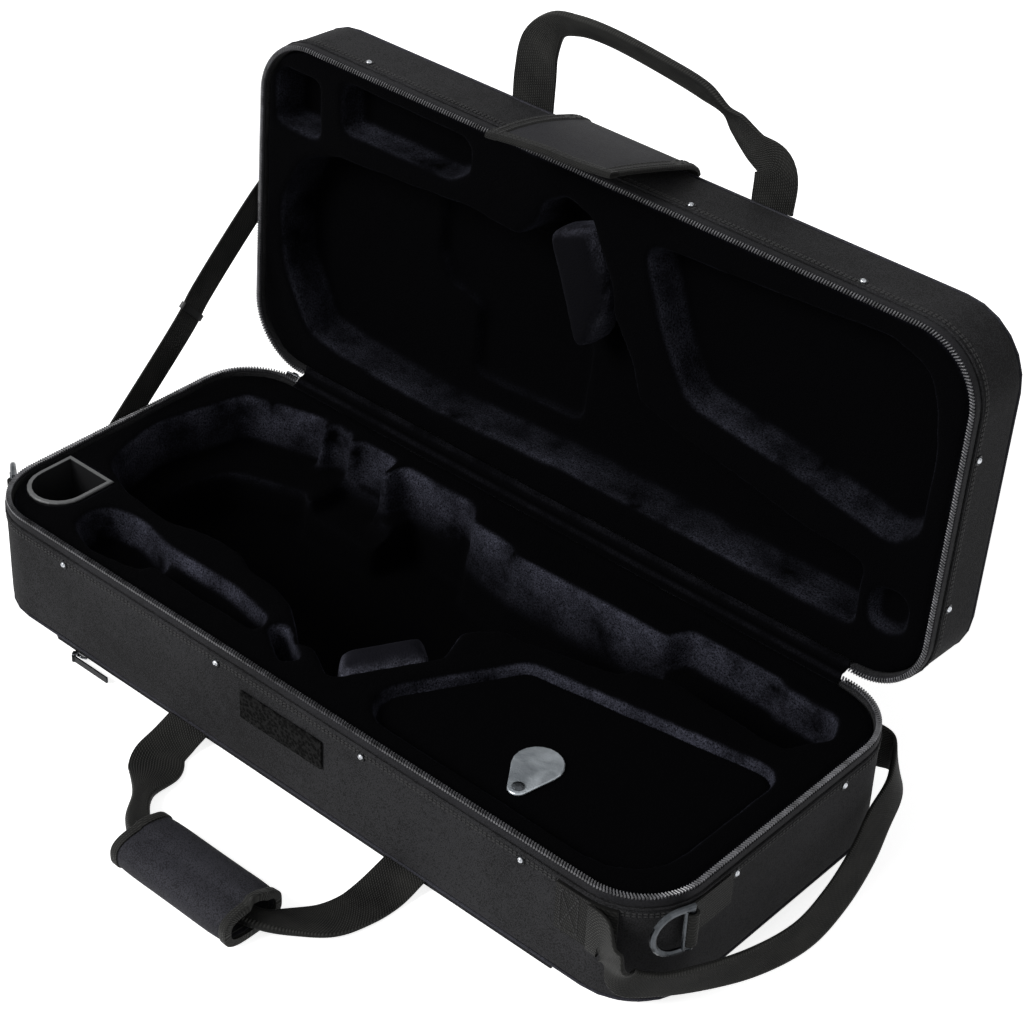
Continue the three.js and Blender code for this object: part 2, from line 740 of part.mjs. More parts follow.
// Webbing: a flat section carried through stations of place, across direction, width and thickness
function webbing(stations, steps) {
  const places = new THREE.CatmullRomCurve3(stations.map((s) => s.at), false, "centripetal");
  const acrosses = new THREE.CatmullRomCurve3(stations.map((s) => s.across), false, "catmullrom", 0.5);
  const sizes = new THREE.CatmullRomCurve3(
    stations.map((s) => vec(s.width, s.thickness, 0)),
    false,
    "catmullrom",
    0.5,
  );
  const rings = [];
  for (let k = 0; k <= steps; k++) {
    const t = k / steps;
    const along = places.getTangent(t);
    const across = acrosses.getPoint(t);
    across.addScaledVector(along, -across.dot(along)).normalize();
    const normal = along.clone().cross(across);
    const { x: width, y: thickness } = sizes.getPoint(t);
    const bevel = thickness * 0.3;
    const place = places.getPoint(t);
    const half = [width / 2, thickness / 2];
    const section = [
      [half[0], -half[1] + bevel], [half[0], half[1] - bevel],
      [half[0] - bevel, half[1]], [-half[0] + bevel, half[1]],
      [-half[0], half[1] - bevel], [-half[0], -half[1] + bevel],
      [-half[0] + bevel, -half[1]], [half[0] - bevel, -half[1]],
    ];
    rings.push(
      section.map(([a, n]) => place.clone().addScaledVector(across, a).addScaledVector(normal, n)),
    );
  }
  return skin(rings);
}

// The seam line of a half where handles and flap are sewn in, at the front edge of the big face
function seamLine(half) {
  const [inset, h] = edgePoint(edgeRadius + seamOffset, seamAngle);
  return { y: inset, z: level(half, h) };
}

// Rows: share of the span, of the reach, of the rise, across direction, shares of width and thickness
const baseHandle_shares = [
  [0.02, 0, 0, 1, 0, 0, 1, 1],
  [0.024, 0.12, -0.2, 1, 0, 0, 1, 1],
  [0.045, 0.26, -0.23, 1, 0.08, 0, 1, 1],
  [0.1, 0.38, -0.2, 0.9, 0.4, 0, 0.85, 1.4],
  [0.165, 0.57, -0.08, 0.6, 0.8, 0, 0.6, 2.4],
  [0.25, 0.74, 0.02, 0.3, 0.95, 0, 0.47, 3.2],
  [0.34, 0.83, 0.06, 0.1, 1, 0, 0.45, 3.5],
  [0.6, 0.845, 0.067, 0, 1, 0, 0.45, 3.6],
  [0.79, 0.845, 0.067, -0.05, 1, 0, 0.43, 3.4],
  [0.86, 0.805, 0.06, -0.25, 1, 0, 0.43, 3.2],
  [0.92, 0.68, -0.06, -0.7, 0.75, 0, 0.62, 2.2],
  [0.975, 0.53, -0.17, -0.9, 0.45, 0, 0.8, 1.6],
  [1, 0.36, -0.2, -0.95, 0.3, 0, 0.86, 1.4],
  [1, 0.18, -0.22, -1, 0, 0, 0.95, 1],
  [1, 0, 0, -1, 0, 0, 0.95, 1],
];
const lidHandle_shares = [
  [0.02, 0, 0, 1, 0, 0, 1, 1],
  [0.02, 0.28, 0, 1, -0.04, 0, 1, 1],
  [0.03, 0.6, 0, 0.9, 0.35, 0, 0.9, 1.4],
  [0.09, 0.88, 0, 0.4, 1, 0.1, 0.55, 2.4],
  [0.18, 0.965, 0, 0.05, 1, 0.1, 0.4, 2.9],
  [0.3, 0.985, 0, 0, 1, 0.1, 0.36, 3],
  [0.53, 0.92, 0, -0.08, 1, 0, 0.35, 3],
  [0.7, 0.835, 0, -0.15, 1, 0, 0.35, 3],
  [0.785, 0.735, 0, -0.3, 1, 0.1, 0.42, 2.4],
  [0.91, 0.5, 0, -0.75, 0.65, 0.2, 0.75, 1.4],
  [0.99, 0.38, 0, -0.95, 0.3, 0, 0.9, 1],
  [1, 0, 0, -1, 0, 0, 0.9, 1],
];

function handleStrap(rows, { left, span, reach, rise, seam, steps }) {
  const stations = rows.map(([s, out, up, ax, ay, az, width, thickness]) => ({
    at: vec(left + s * span, seam.y - out * reach, seam.z + up * rise),
    across: vec(ax, ay, az),
    width: width * webWidth,
    thickness: thickness * webThickness,
  }));
  return webbing(stations, steps);
}

const baseHandleStrap = () =>
  handleStrap(baseHandle_shares, {
    left: baseHandleLeft,
    span: baseHandleSpan,
    reach: handleReach,
    rise: wrapHeight,
    seam: seamLine(baseHalf),
    steps: 30,
  });

const lidHandleStrap = () =>
  handleStrap(lidHandle_shares, {
    left: lidHandleLeft,
    span: lidHandleSpan,
    reach: lidHandleReach,
    rise: webWidth,
    seam: seamLine(lidHalf),
    steps: 26,
  });

// The padded wrap: a flattened roll with bound ends, open at both ends for the webbing
function handleWrap() {
  const centre = { y: -(wrapNear + wrapWidth / 2), z: seat + wrapHeight / 2 };
  const ring = (along, inset) => {
    const points = [];
    const sides = 20;
    for (let k = 0; k < sides; k++) {
      const angle = (2 * Math.PI * k) / sides;
      const squared = (value) => Math.sign(value) * Math.abs(value) ** 0.75;
      points.push(
        vec(
          wrapLeft + along,
          centre.y + (wrapWidth / 2 - inset) * squared(Math.cos(angle)),
          centre.z + (wrapHeight / 2 - inset) * squared(Math.sin(angle)),
        ),
      );
    }
    return points;
  };
  const soft = wrapBinding / 6;
  const outer = [
    [0, soft * 1.5], [soft, 0], [wrapBinding, 0], [wrapBinding + soft, soft],
    [wrapLength / 2, 0], [wrapLength - wrapBinding - soft, soft],
    [wrapLength - wrapBinding, 0], [wrapLength - soft, 0], [wrapLength, soft * 1.5],
  ];
  const inner = [[wrapLength, wrapWall], [wrapLength / 2, wrapWall + soft], [0, wrapWall]];
  return skin([...outer, ...inner].map(([along, inset]) => ring(along, inset)), true);
}

// Rows: share of the reach, of the depth, of the patch height, across direction, width, thickness
const endHandle_shares = [
  [-0.2, 0, 0, 0, 0, 1, 1, 1],
  [0, -0.006, 0, 0, 0, 1, 1, 1.1],
  [0.15, -0.034, -0.18, -0.3, 0, 0.95, 0.9, 1.3],
  [0.3, -0.03, -0.5, -0.3, -0.2, 0.95, 0.62, 2],
  [0.5, 0.03, -0.66, 0, 0, 1, 0.5, 2.3],
  [0.7, 0.11, -0.7, -0.15, 0, 1, 0.5, 2.3],
  [0.93, 0.25, -0.77, -0.45, 0, 0.85, 0.5, 2.3],
  [1.04, 0.4, -0.8, -0.65, 0, 0.7, 0.5, 2.3],
  [0.99, 0.545, -0.76, -0.75, -0.2, 0.6, 0.5, 2.3],
  [0.85, 0.7, -0.68, -0.75, -0.3, 0.55, 0.5, 2.3],
  [0.69, 0.82, -0.6, -0.7, -0.3, 0.6, 0.5, 2.2],
  [0.52, 0.95, -0.53, -0.4, -0.2, 0.85, 0.52, 2.1],
  [0.25, 1.028, -0.46, -0.1, 0, 1, 0.8, 1.4],
  [0, 1.008, -0.434, 0, 0, 1, 1, 1.1],
  [-0.2, 1, -0.434, 0, 0, 1, 1, 1],
];

function endHandleStrap() {
  const standOff = 2 * seat + patchThickness + webThickness / 2;
  const stations = endHandle_shares.map(([out, back, up, ax, ay, az, width, thickness]) => {
    const away = out <= 0 ? (back * 2 - 1) * standOff : 0;
    return {
      at: vec(endHandleX + out * endHandleReach, back * caseDepth + away, endHandleZ + up * patchHeight),
      across: vec(ax, ay, az),
      width: width * webWidth,
      thickness: thickness * webThickness,
    };
  });
  return webbing(stations, 34);
}

// A flat piece with rounded corners, its thickness towards +z
function plate(width, height, thickness, radius) {
  const shape = new THREE.Shape();
  const [x, y] = [width / 2, height / 2];
  shape.moveTo(-x + radius, -y);
  shape.lineTo(x - radius, -y).absarc(x - radius, -y + radius, radius, -Math.PI / 2, 0);
  shape.lineTo(x, y - radius).absarc(x - radius, y - radius, radius, 0, Math.PI / 2);
  shape.lineTo(-x + radius, y).absarc(-x + radius, y - radius, radius, Math.PI / 2, Math.PI);
  shape.lineTo(-x, -y + radius).absarc(-x + radius, -y + radius, radius, Math.PI, 1.5 * Math.PI);
  const soft = Math.min(radius, thickness) * 0.3;
  return new THREE.ExtrudeGeometry(shape, {
    depth: thickness - 2 * soft,
    bevelSize: soft,
    bevelThickness: soft,
    bevelOffset: -soft,
    bevelSegments: 1,
    curveSegments: 3,
  }).translate(0, 0, soft);
}

// D-ring: a straight bar and an arc, upright, the arc towards -y, the bar on the z axis
function dRing() {
  const bar = ringHeight / 2 - ringWire;
  const arm = ringReach - ringHeight / 2;
  const path = [];
  for (let k = 0; k <= roundSteps; k++) {
    const angle = (Math.PI * k) / roundSteps;
    path.push([-(arm + bar * Math.sin(angle)), -bar * Math.cos(angle)]);
  }
  path.push([-arm / 2, bar], [0, bar], [0, bar / 2], [0, -bar / 2], [0, -bar], [-arm / 2, -bar]);
  const count = path.length;
  const rings = path.map(([y, z], i) => {
    const [py, pz] = path[(i + count - 1) % count];
    const [ny, nz] = path[(i + 1) % count];
    const before = Math.atan2(z - pz, y - py);
    const turn = Math.atan2(nz - z, ny - y) - before;
    const bend = Math.atan2(Math.sin(turn), Math.cos(turn));
    const side = before + bend / 2 + Math.PI / 2;
    const stretch = 1 / Math.cos(bend / 2);
    return Array.from({ length: 8 }, (_, k) => {
      const angle = (2 * Math.PI * (k + 0.5)) / 8;
      const out = ringWire * Math.cos(angle) * stretch;
      return vec(ringWire * Math.sin(angle), y + out * Math.cos(side), z + out * Math.sin(side));
    });
  });
  return skin(rings, true);
}

// Keeper: webbing folded round the bar and sewn flat on the wall, as a section carried upwards
function ringKeeper(length) {
  const inner = ringWire + keeperBore;
  const outer = inner + keeperThickness;
  const shape = new THREE.Shape();
  shape.moveTo(-outer, length);
  shape.absarc(0, 0, outer, Math.PI, 2 * Math.PI + Math.acos(-inner / outer), false);
  shape.lineTo(-inner, length);
  shape.closePath();
  const bore = new THREE.Path();
  bore.absarc(0, 0, inner, 0, 2 * Math.PI, true);
  shape.holes.push(bore);
  return new THREE.ExtrudeGeometry(shape, {
    depth: keeperHeight,
    bevelEnabled: false,
    curveSegments: roundSteps,
  }).translate(0, 0, -keeperHeight / 2);
}

const block = (x0, x1, y0, y1, z0, z1) =>
  skin([z0, z1].map((z) => [vec(x0, y0, z), vec(x1, y0, z), vec(x1, y1, z), vec(x0, y1, z)]));

const rod = (radius, length, sides = roundSteps) =>
  new THREE.CylinderGeometry(radius, radius, length, sides).rotateZ(Math.PI / 2);

// Hinge leaf behind a back wall, in the frame of the hinge axis: the base's holds the pin, the
// lid's is bored for it, and the sign points from the axis to the plate
function hingeLeaf(sign) {
  const first = sign < 0 ? 0 : 1;
  const pitch = hingeLength / hingeKnuckles;
  const y0 = seat - hingeBehind;
  const clear = knuckleRadius + pinClearance;
  const plateAt = (x0, x1, near, far) => {
    const [low, high] = [sign * near, sign * far].sort((a, b) => a - b);
    return block(x0, x1, y0, y0 + leafThickness, low, high);
  };
  const pieces = [plateAt(-hingeLength / 2, hingeLength / 2, clear, clear + leafHeight)];
  for (let k = first; k < hingeKnuckles; k += 2) {
    const centre = (k + 0.5) * pitch - hingeLength / 2;
    const half = (pitch - knuckleGap) / 2;
    pieces.push(rod(knuckleRadius, 2 * half).translate(centre, 0, 0));
    pieces.push(plateAt(centre - half, centre + half, pinRadius + 2 * pinClearance, clear + leafThickness));
  }
  return sign < 0
    ? join([...pieces, rod(pinRadius, hingeLength)])
    : cut(join(pieces), [rod(pinRadius + pinClearance, hingeLength + overrun)]);
}

// Cloth between the hinges: up the back of the base, then out under the back wall of the open lid
function backGusset() {
  const lidSlope = Math.tan(radians(openAngle - 90));
  const lidFace = hingeZ + hingeBehind - seat - gussetThickness;
  const wall = caseDepth + seat + gussetThickness / 2;
  const under = (out) => vec(0, hingeY + out, lidFace - out * lidSlope);
  const stations = [
    vec(0, wall, hingeZ - gussetDrop),
    vec(0, wall, hingeZ - gussetDrop / 2),
    vec(0, wall, hingeZ - gussetDrop / 6),
    vec(0, wall + gussetThickness * 1.5, hingeZ - gussetThickness * 3),
    under(gussetDrop / 6),
    under(gussetDrop / 2),
    under(gussetDrop),
  ].map((at) => ({ at, across: vec(1, 0, 0), width: gussetSpan, thickness: gussetThickness }));
  return webbing(stations, 12);
}

const stayAngle = () => Math.atan2(stayHighZ - stayLowZ, stayHighY - stayLowY);

// Flat webbing in the plane of the left end, from low on the base to the open lid
function stayStrap() {
  const x = -(caseLength / 2 + 2 * seat + stayPatchThickness + stayThickness / 2);
  const place = (t) =>
    vec(x, stayLowY + (stayHighY - stayLowY) * t, stayLowZ + (stayHighZ - stayLowZ) * t);
  const across = vec(0, -Math.sin(stayAngle()), Math.cos(stayAngle()));
  return webbing(
    [0, 0.5, 1].map((t) => ({ at: place(t), across, width: stayWidth, thickness: stayThickness })),
    2,
  );
}

// Sewn patch under one end of the stay strap; t is the place along the strap
function stayPatchMesh(name, t) {
  const mesh = named(name, plate(stayPatch, stayPatch, stayPatchThickness, stayPatchThickness), "webbing");
  const holder = new THREE.Group();
  const full = Math.hypot(stayHighY - stayLowY, stayHighZ - stayLowZ);
  const along = t * full + (t < 0.5 ? 1 : -1) * (stayPatch / 2);
  holder.position.set(
    -(caseLength / 2 + seat),
    stayLowY + Math.cos(stayAngle()) * along,
    stayLowZ + Math.sin(stayAngle()) * along,
  );
  mesh.rotation.set(stayAngle(), -Math.PI / 2, 0, "XYZ");
  holder.add(mesh);
  return holder;
}

// The flap, in its pressed place, hanging from the seam line at the origin
function flapPath() {
  const seam = seamLine(lidHalf);
  const away = -(seam.y + flapStandOff);
  return [
    vec(0, 0, 0),
    vec(0, away * 0.55, -flapThickness * 1.4),
    vec(0, away * 0.94, -flapThickness * 4.5),
    vec(0, away, -flapLength * 0.25),
    vec(0, away, -flapLength * 0.6),
    vec(0, away, -flapLength),
  ];
}

function closingFlap() {
  const band = (centre, width, thickness, path) =>
    webbing(
      path.map((p) => ({ at: p.clone().setX(centre), across: vec(1, 0, 0), width, thickness })),
      path.length > 2 ? 14 : 1,
    );
  const path = flapPath();
  const end = path.at(-1);
  const hem = [vec(0, end.y, end.z + flapBinding), vec(0, end.y, end.z - seat)];
  const middle = flapLeft + flapWidth / 2;
  const sides = [flapLeft + flapBinding / 2, flapLeft + flapWidth - flapBinding / 2];
  return join([
    band(middle, flapWidth - flapBinding, flapThickness, path),
    ...sides.map((x) => band(x, flapBinding, bindingThickness, path)),
    band(middle, flapWidth, bindingThickness, hem),
  ]);
}

function pocketPanel() {
  const soft = pocketThickness * 0.3;
  return stack([
    [pocketInset + pocketEdge, 0],
    [pocketInset + soft, soft],
    [pocketInset, 2 * soft],
    [pocketInset, pocketThickness],
  ]);
}

// The pocket's zipper lies on the rounded front edge; its coil runs along the middle of the tape
function pocketZipperTape() {
  const reach = pocketTapeHalf / edgeRadius;
  const coil = pocketCoil / edgeRadius;
  const inner = edgeRadius + seat;
  const outer = inner + tapeThickness;
  const point = (radius, offset) => {
    const angle = radians(pocketZipAngle) + offset;
    return [edgeRadius - radius * Math.cos(angle), baseHalf.face + edgeRadius - radius * Math.sin(angle)];
  };
  const section = [
    point(inner, -reach), point(inner, 0), point(inner, reach), point(outer, reach),
    point(outer, coil), point(outer + pocketCoil, coil * 0.6),
    point(outer + pocketCoil, -coil * 0.6), point(outer, -coil), point(outer, -reach),
  ];
  const ends = [-pocketZipLength / 2, pocketZipLength / 2];
  return skin(ends.map((x) => section.map(([y, z]) => vec(x, y, z))));
}

const pocketPin = { y: -(pocketCoil * 2.1), radius: 0.8, low: 1, high: 8.4 };

function pocketSlider() {
  const radius = edgeRadius + seat + tapeThickness + pocketCoil + sliderGap;
  const angle = radians(pocketZipAngle);
  const [across, height] = [edgeRadius - radius * Math.cos(angle), edgeRadius - radius * Math.sin(angle)];
  const body = plate(pocketSliderLength, pocketSliderWidth, sliderThickness, sliderThickness)
    .rotateX(Math.PI / 2 + angle)
    .translate(0, across, baseHalf.face + height);
  const { y, radius: pin, low, high } = pocketPin;
  const arm = 1.5 * pin;
  return join([
    body,
    block(-arm, arm, -pin / 4, arm, high / 2, high),
    block(-arm, arm, y - pin, 0, high - arm, high),
    new THREE.CylinderGeometry(pin, pin, high - low, roundSteps)
      .rotateX(Math.PI / 2)
      .translate(0, y, (high + low) / 2),
  ]);
}

function pocketPull() {
  const { radius: pin, low, high } = pocketPin;
  const eye = 2 * pin;
  const tall = high - low - 3 * pin;
  const leaf = plate(pocketPullLength, tall, pullThickness, pullThickness * 0.4)
    .rotateX(Math.PI / 2)
    .translate(pocketPullLength / 2 + pin, pullThickness / 2, 0);
  const barrel = new THREE.CylinderGeometry(eye, eye, tall, roundSteps).rotateX(Math.PI / 2);
  const bore = new THREE.CylinderGeometry(pin + seat, pin + seat, 2 * tall, roundSteps).rotateX(Math.PI / 2);
  return cut(join([leaf, barrel]), [bore]).translate(0, 0, low + tall / 2 + pin / 2);
}

// The main slider in the frame of its corner: outwards is +y, upwards +z, on the base's coil
function zipperSlider() {
  const face = cornerRadius + sliderGap;
  const bar = pullEye * 0.26;
  const out = sliderBar();
  const post = sliderLength * 0.3;
  const plateMesh = plate(sliderLength, sliderHeight, sliderThickness, sliderThickness * 0.7)
    .rotateX(-Math.PI / 2)
    .translate(0, face, 0);
  return join([
    plateMesh,
    ...[-post, post].map((x) => block(x - bar, x + bar, face + sliderThickness / 2, out + bar, -bar, bar)),
    block(-post, post, out - bar, out + bar, -bar, bar),
  ]);
}

const sliderBar = () => cornerRadius + sliderGap + sliderThickness + pullEye;

// The pull hangs from the slider's bar, its eye on the origin
function sliderPull() {
  const eye = pullEye * 0.86;
  const wide = sliderLength * 0.34;
  const leaf = plate(pullWidth, pullLength, pullThickness, pullWidth / 3)
    .rotateX(Math.PI / 2)
    .translate(0, pullThickness / 2, -pullLength / 2 - eye * 0.6);
  return cut(join([leaf, rod(eye, wide)]), [rod(pullEye * 0.45, 2 * pullWidth)]);
}

// Assembly

function named(name, geometry, material) {
  const mesh = new THREE.Mesh(geometry, materials[material]);
  mesh.name = name;
  return mesh;
}

function placed(object, x, y, z) {
  object.position.set(x, y, z);
  return object;
}

// Studs along the front wall and both end walls, the same places on both halves
function studs(half, prefix) {
  const z = belowRim(half, studFromRim);
  const wall = caseLength / 2 + seat;
  const places = [
    ...frontStud_shares.map((u) => ({ at: [u * caseLength, -seat, z], turn: [Math.PI / 2, 0] })),
    ...endStud_shares.map((v) => ({ at: [wall, v * caseDepth, z], turn: [0, Math.PI / 2] })),
    ...endStud_shares.map((v) => ({ at: [-wall, v * caseDepth, z], turn: [0, -Math.PI / 2] })),
  ];
  return places.map(({ at, turn }, i) => {
    const stud = placed(named(`${prefix}_stud_${i + 1}`, dome(studRadius, studHeight), "nickel"), ...at);
    stud.rotation.set(turn[0], turn[1], 0);
    return stud;
  });
}

// Webbing sewn on a wall beside the end handle, wrapped on to the rounded corner
function wallPatch(front) {
  const flat = caseLength / 2 - cornerRadius - (patchEnd - patchLength);
  const wrap = (patchEnd - (caseLength / 2 - cornerRadius)) / cornerRadius;
  const centreX = caseLength / 2 - cornerRadius;
  const stations = [{ x: centreX - flat, angle: 0 }];
  for (let k = 0; k <= 4; k++) {
    stations.push({ x: centreX, angle: (wrap * k) / 4 });
  }
  const middle = endHandleZ - (front ? 0 : rearDrop);
  const [low, high] = [middle - patchHeight / 2, middle + patchHeight / 2];
  const [under, over] = [seat, seat + patchThickness];
  const rings = stations.map(({ x, angle }) =>
    [[under, low], [under, high], [over, high], [over, low]].map(([out, z]) => {
      const radius = cornerRadius + out;
      const y = cornerRadius - radius * Math.cos(angle);
      return vec(x + radius * Math.sin(angle), front ? y : caseDepth - y, z);
    }),
  );
  return skin(rings);
}

const hingeLeaves = (half, sign) =>
  ["left", "right"].map((side) => {
    const leaf = named(`hinge_leaf_${half}_${side}`, hingeLeaf(sign), "nickel");
    return placed(leaf, side === "left" ? -hingeX : hingeX, hingeY, hingeZ);
  });

function ringOnWall(side, y, lean) {
  const wall = new THREE.Group();
  wall.scale.x = side === "left" ? -1 : 1;
  const place = placed(new THREE.Group(), ringBarX, y, ringZ);
  const ring = named(`${side}_ring`, dRing(), "castMetal");
  ring.rotation.z = -radians(lean);
  place.add(ring, named(`${side}_ring_keeper`, ringKeeper(keeperEnd - y), "webbing"));
  wall.add(place);
  return wall;
}

function pullTabOnPanel() {
  const place = placed(
    new THREE.Group(),
    tabX,
    tabStart,
    belowRim(baseHalf, linerDrop + panelDrop) + seat,
  );
  place.rotation.z = radians(tabTurn);
  const rivet = named("tab_rivet", dome(rivetRadius, rivetHeight), "castMetal");
  place.add(named("pull_tab", pullTab(), "leather"));
  place.add(placed(rivet, 0, tabNarrow + seat, tabThickness + seat));
  return place;
}

function mainSlider() {
  const corner = placed(
    new THREE.Group(),
    -(caseLength / 2 - cornerRadius),
    caseDepth - cornerRadius,
    baseHeight - rimGap / 2 - seat - sliderHeight / 2,
  );
  corner.rotation.z = radians(parkAngle);
  corner.add(named("zipper_slider", zipperSlider(), "nickel"));
  corner.add(placed(named("slider_pull", sliderPull(), "nickel"), 0, sliderBar(), 0));
  return corner;
}

function baseGroup() {
  const group = new THREE.Group();
  group.add(
    named("base_shell", shell(baseHalf), "shellFabric"),
    named("base_liner", baseLiner(), "plush"),
    named("base_bolster", baseBolster(), "plush"),
    named("base_zipper_tape", zipperTape(baseHalf), "zipperTape"),
    named("base_seam_bead", seamBead(baseHalf), "shellFabric"),
    named("base_edge_piping", edgePiping(baseHalf), "shellFabric"),
    named("mouthpiece_tube", mouthpieceTube(), "greyPlastic"),
    named("pocket_panel", pocketPanel(), "shellFabric"),
    named("pocket_zipper_tape", pocketZipperTape(), "zipperTape"),
    named("end_handle_front_patch", wallPatch(true), "webbing"),
    named("end_handle_rear_patch", wallPatch(false), "webbing"),
    ...studs(baseHalf, "base"),
  );
  const loop = named("loop_patch", plate(loopLength, loopHeight, loopThickness, loopThickness), "webbing");
  loop.rotation.x = Math.PI / 2;
  group.add(placed(loop, loopLeft + loopLength / 2, -seat, loopLow + loopHeight / 2));
  group.add(
    named("accessory_panel", accessoryPanel(), "plush"),
    pullTabOnPanel(),
    mainSlider(),
    placed(named("pocket_slider", pocketSlider(), "nickel"), pocketSliderX, 0, 0),
    placed(named("pocket_pull", pocketPull(), "nickel"), pocketSliderX, pocketPin.y, 0),
    named("base_handle_strap", baseHandleStrap(), "webbing"),
    named("handle_wrap", handleWrap(), "wrapFabric"),
    named("end_handle_strap", endHandleStrap(), "webbing"),
    ringOnWall("right", rightRingY, rightLean),
    ringOnWall("left", leftRingY, leftLean),
  );
  return group;
}

// The lid is drawn closed and turned back about the hinge axis
function lidGroup() {
  const pivot = placed(new THREE.Group(), 0, hingeY, hingeZ);
  pivot.rotation.x = -radians(openAngle);
  const lid = placed(new THREE.Group(), 0, -hingeY, -hingeZ);
  pivot.add(lid);
  lid.add(
    named("lid_shell", shell(lidHalf), "shellFabric"),
    named("lid_liner", lidLiner(), "plush"),
    named("lid_bolster", lidBolster(), "plush"),
    named("lid_zipper_tape", zipperTape(lidHalf), "zipperTape"),
    named("lid_seam_bead", seamBead(lidHalf), "shellFabric"),
    named("lid_edge_piping", edgePiping(lidHalf), "shellFabric"),
    named("lid_handle_strap", lidHandleStrap(), "webbing"),
    ...hingeLeaves("lid", 1),
    ...studs(lidHalf, "lid"),
  );
  const seam = seamLine(lidHalf);
  const flap = placed(new THREE.Group(), 0, seam.y, seam.z);
  flap.rotation.x = -radians(flapLift);
  const hook = named("hook_patch", plate(loopLength, hookHeight, loopThickness, loopThickness), "webbing");
  hook.rotation.x = -Math.PI / 2;
  const flapInner = -(seam.y + flapStandOff) + flapThickness / 2 + seat;
  placed(hook, loopLeft + loopLength / 2, flapInner, hookLow + hookHeight / 2 - seam.z);
  flap.add(named("closing_flap", closingFlap(), "shellFabric"), hook);
  lid.add(flap);
  return pivot;
}

const assembly = new THREE.Group();
assembly.position.y = -caseDepth / 2;
assembly.add(
  baseGroup(),
  lidGroup(),
  ...hingeLeaves("base", -1),
  named("back_gusset", backGusset(), "shellFabric"),
  named("stay_strap", stayStrap(), "webbing"),
  stayPatchMesh("stay_anchor_base", 0),
  stayPatchMesh("stay_anchor_lid", 1),
);

const part = new THREE.Group();
part.add(assembly);
export default part;
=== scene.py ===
"""Alto saxophone case, standing open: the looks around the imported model."""

from __future__ import annotations

import json
import logging
import math
from collections.abc import Callable, Sequence
from dataclasses import dataclass, field
from enum import Enum
from typing import Any

import bmesh
import bpy
from mathutils import Matrix, Vector

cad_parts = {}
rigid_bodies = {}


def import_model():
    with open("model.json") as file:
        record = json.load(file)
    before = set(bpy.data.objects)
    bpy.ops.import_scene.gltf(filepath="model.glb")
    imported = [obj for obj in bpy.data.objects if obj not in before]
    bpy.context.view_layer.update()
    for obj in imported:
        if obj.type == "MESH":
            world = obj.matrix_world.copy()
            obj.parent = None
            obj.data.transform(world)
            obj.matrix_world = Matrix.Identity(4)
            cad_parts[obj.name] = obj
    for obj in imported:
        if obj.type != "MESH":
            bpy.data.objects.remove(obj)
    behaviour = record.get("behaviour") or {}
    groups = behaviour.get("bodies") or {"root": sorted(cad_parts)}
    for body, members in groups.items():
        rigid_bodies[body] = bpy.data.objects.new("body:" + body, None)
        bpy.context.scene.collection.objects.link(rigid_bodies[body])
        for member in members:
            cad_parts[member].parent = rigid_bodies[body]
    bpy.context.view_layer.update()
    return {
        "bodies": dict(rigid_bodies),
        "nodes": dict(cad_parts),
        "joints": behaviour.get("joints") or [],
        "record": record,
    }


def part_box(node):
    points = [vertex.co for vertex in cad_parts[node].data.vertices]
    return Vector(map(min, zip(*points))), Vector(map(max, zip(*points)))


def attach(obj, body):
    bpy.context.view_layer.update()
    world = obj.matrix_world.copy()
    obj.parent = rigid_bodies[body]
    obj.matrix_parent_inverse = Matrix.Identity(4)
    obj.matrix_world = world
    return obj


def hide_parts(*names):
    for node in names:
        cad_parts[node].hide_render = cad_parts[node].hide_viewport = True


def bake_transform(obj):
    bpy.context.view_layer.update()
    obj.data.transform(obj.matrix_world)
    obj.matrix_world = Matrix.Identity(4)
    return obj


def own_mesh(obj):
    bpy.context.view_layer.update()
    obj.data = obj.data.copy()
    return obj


log = logging.getLogger("case")

MM = 0.001
IMAGE = 1024
WHITE = (1.0, 1.0, 1.0, 1.0)
X_AXIS, Y_AXIS, Z_AXIS = (Vector(axis) for axis in ((1, 0, 0), (0, 1, 0), (0, 0, 1)))
Row = tuple[float, ...]
Piece = bpy.types.Object
Socket = bpy.types.NodeSocket
Tree = bpy.types.NodeTree


class Half(Enum):
    """The two halves of the case."""

    BASE = "base"
    LID = "lid"


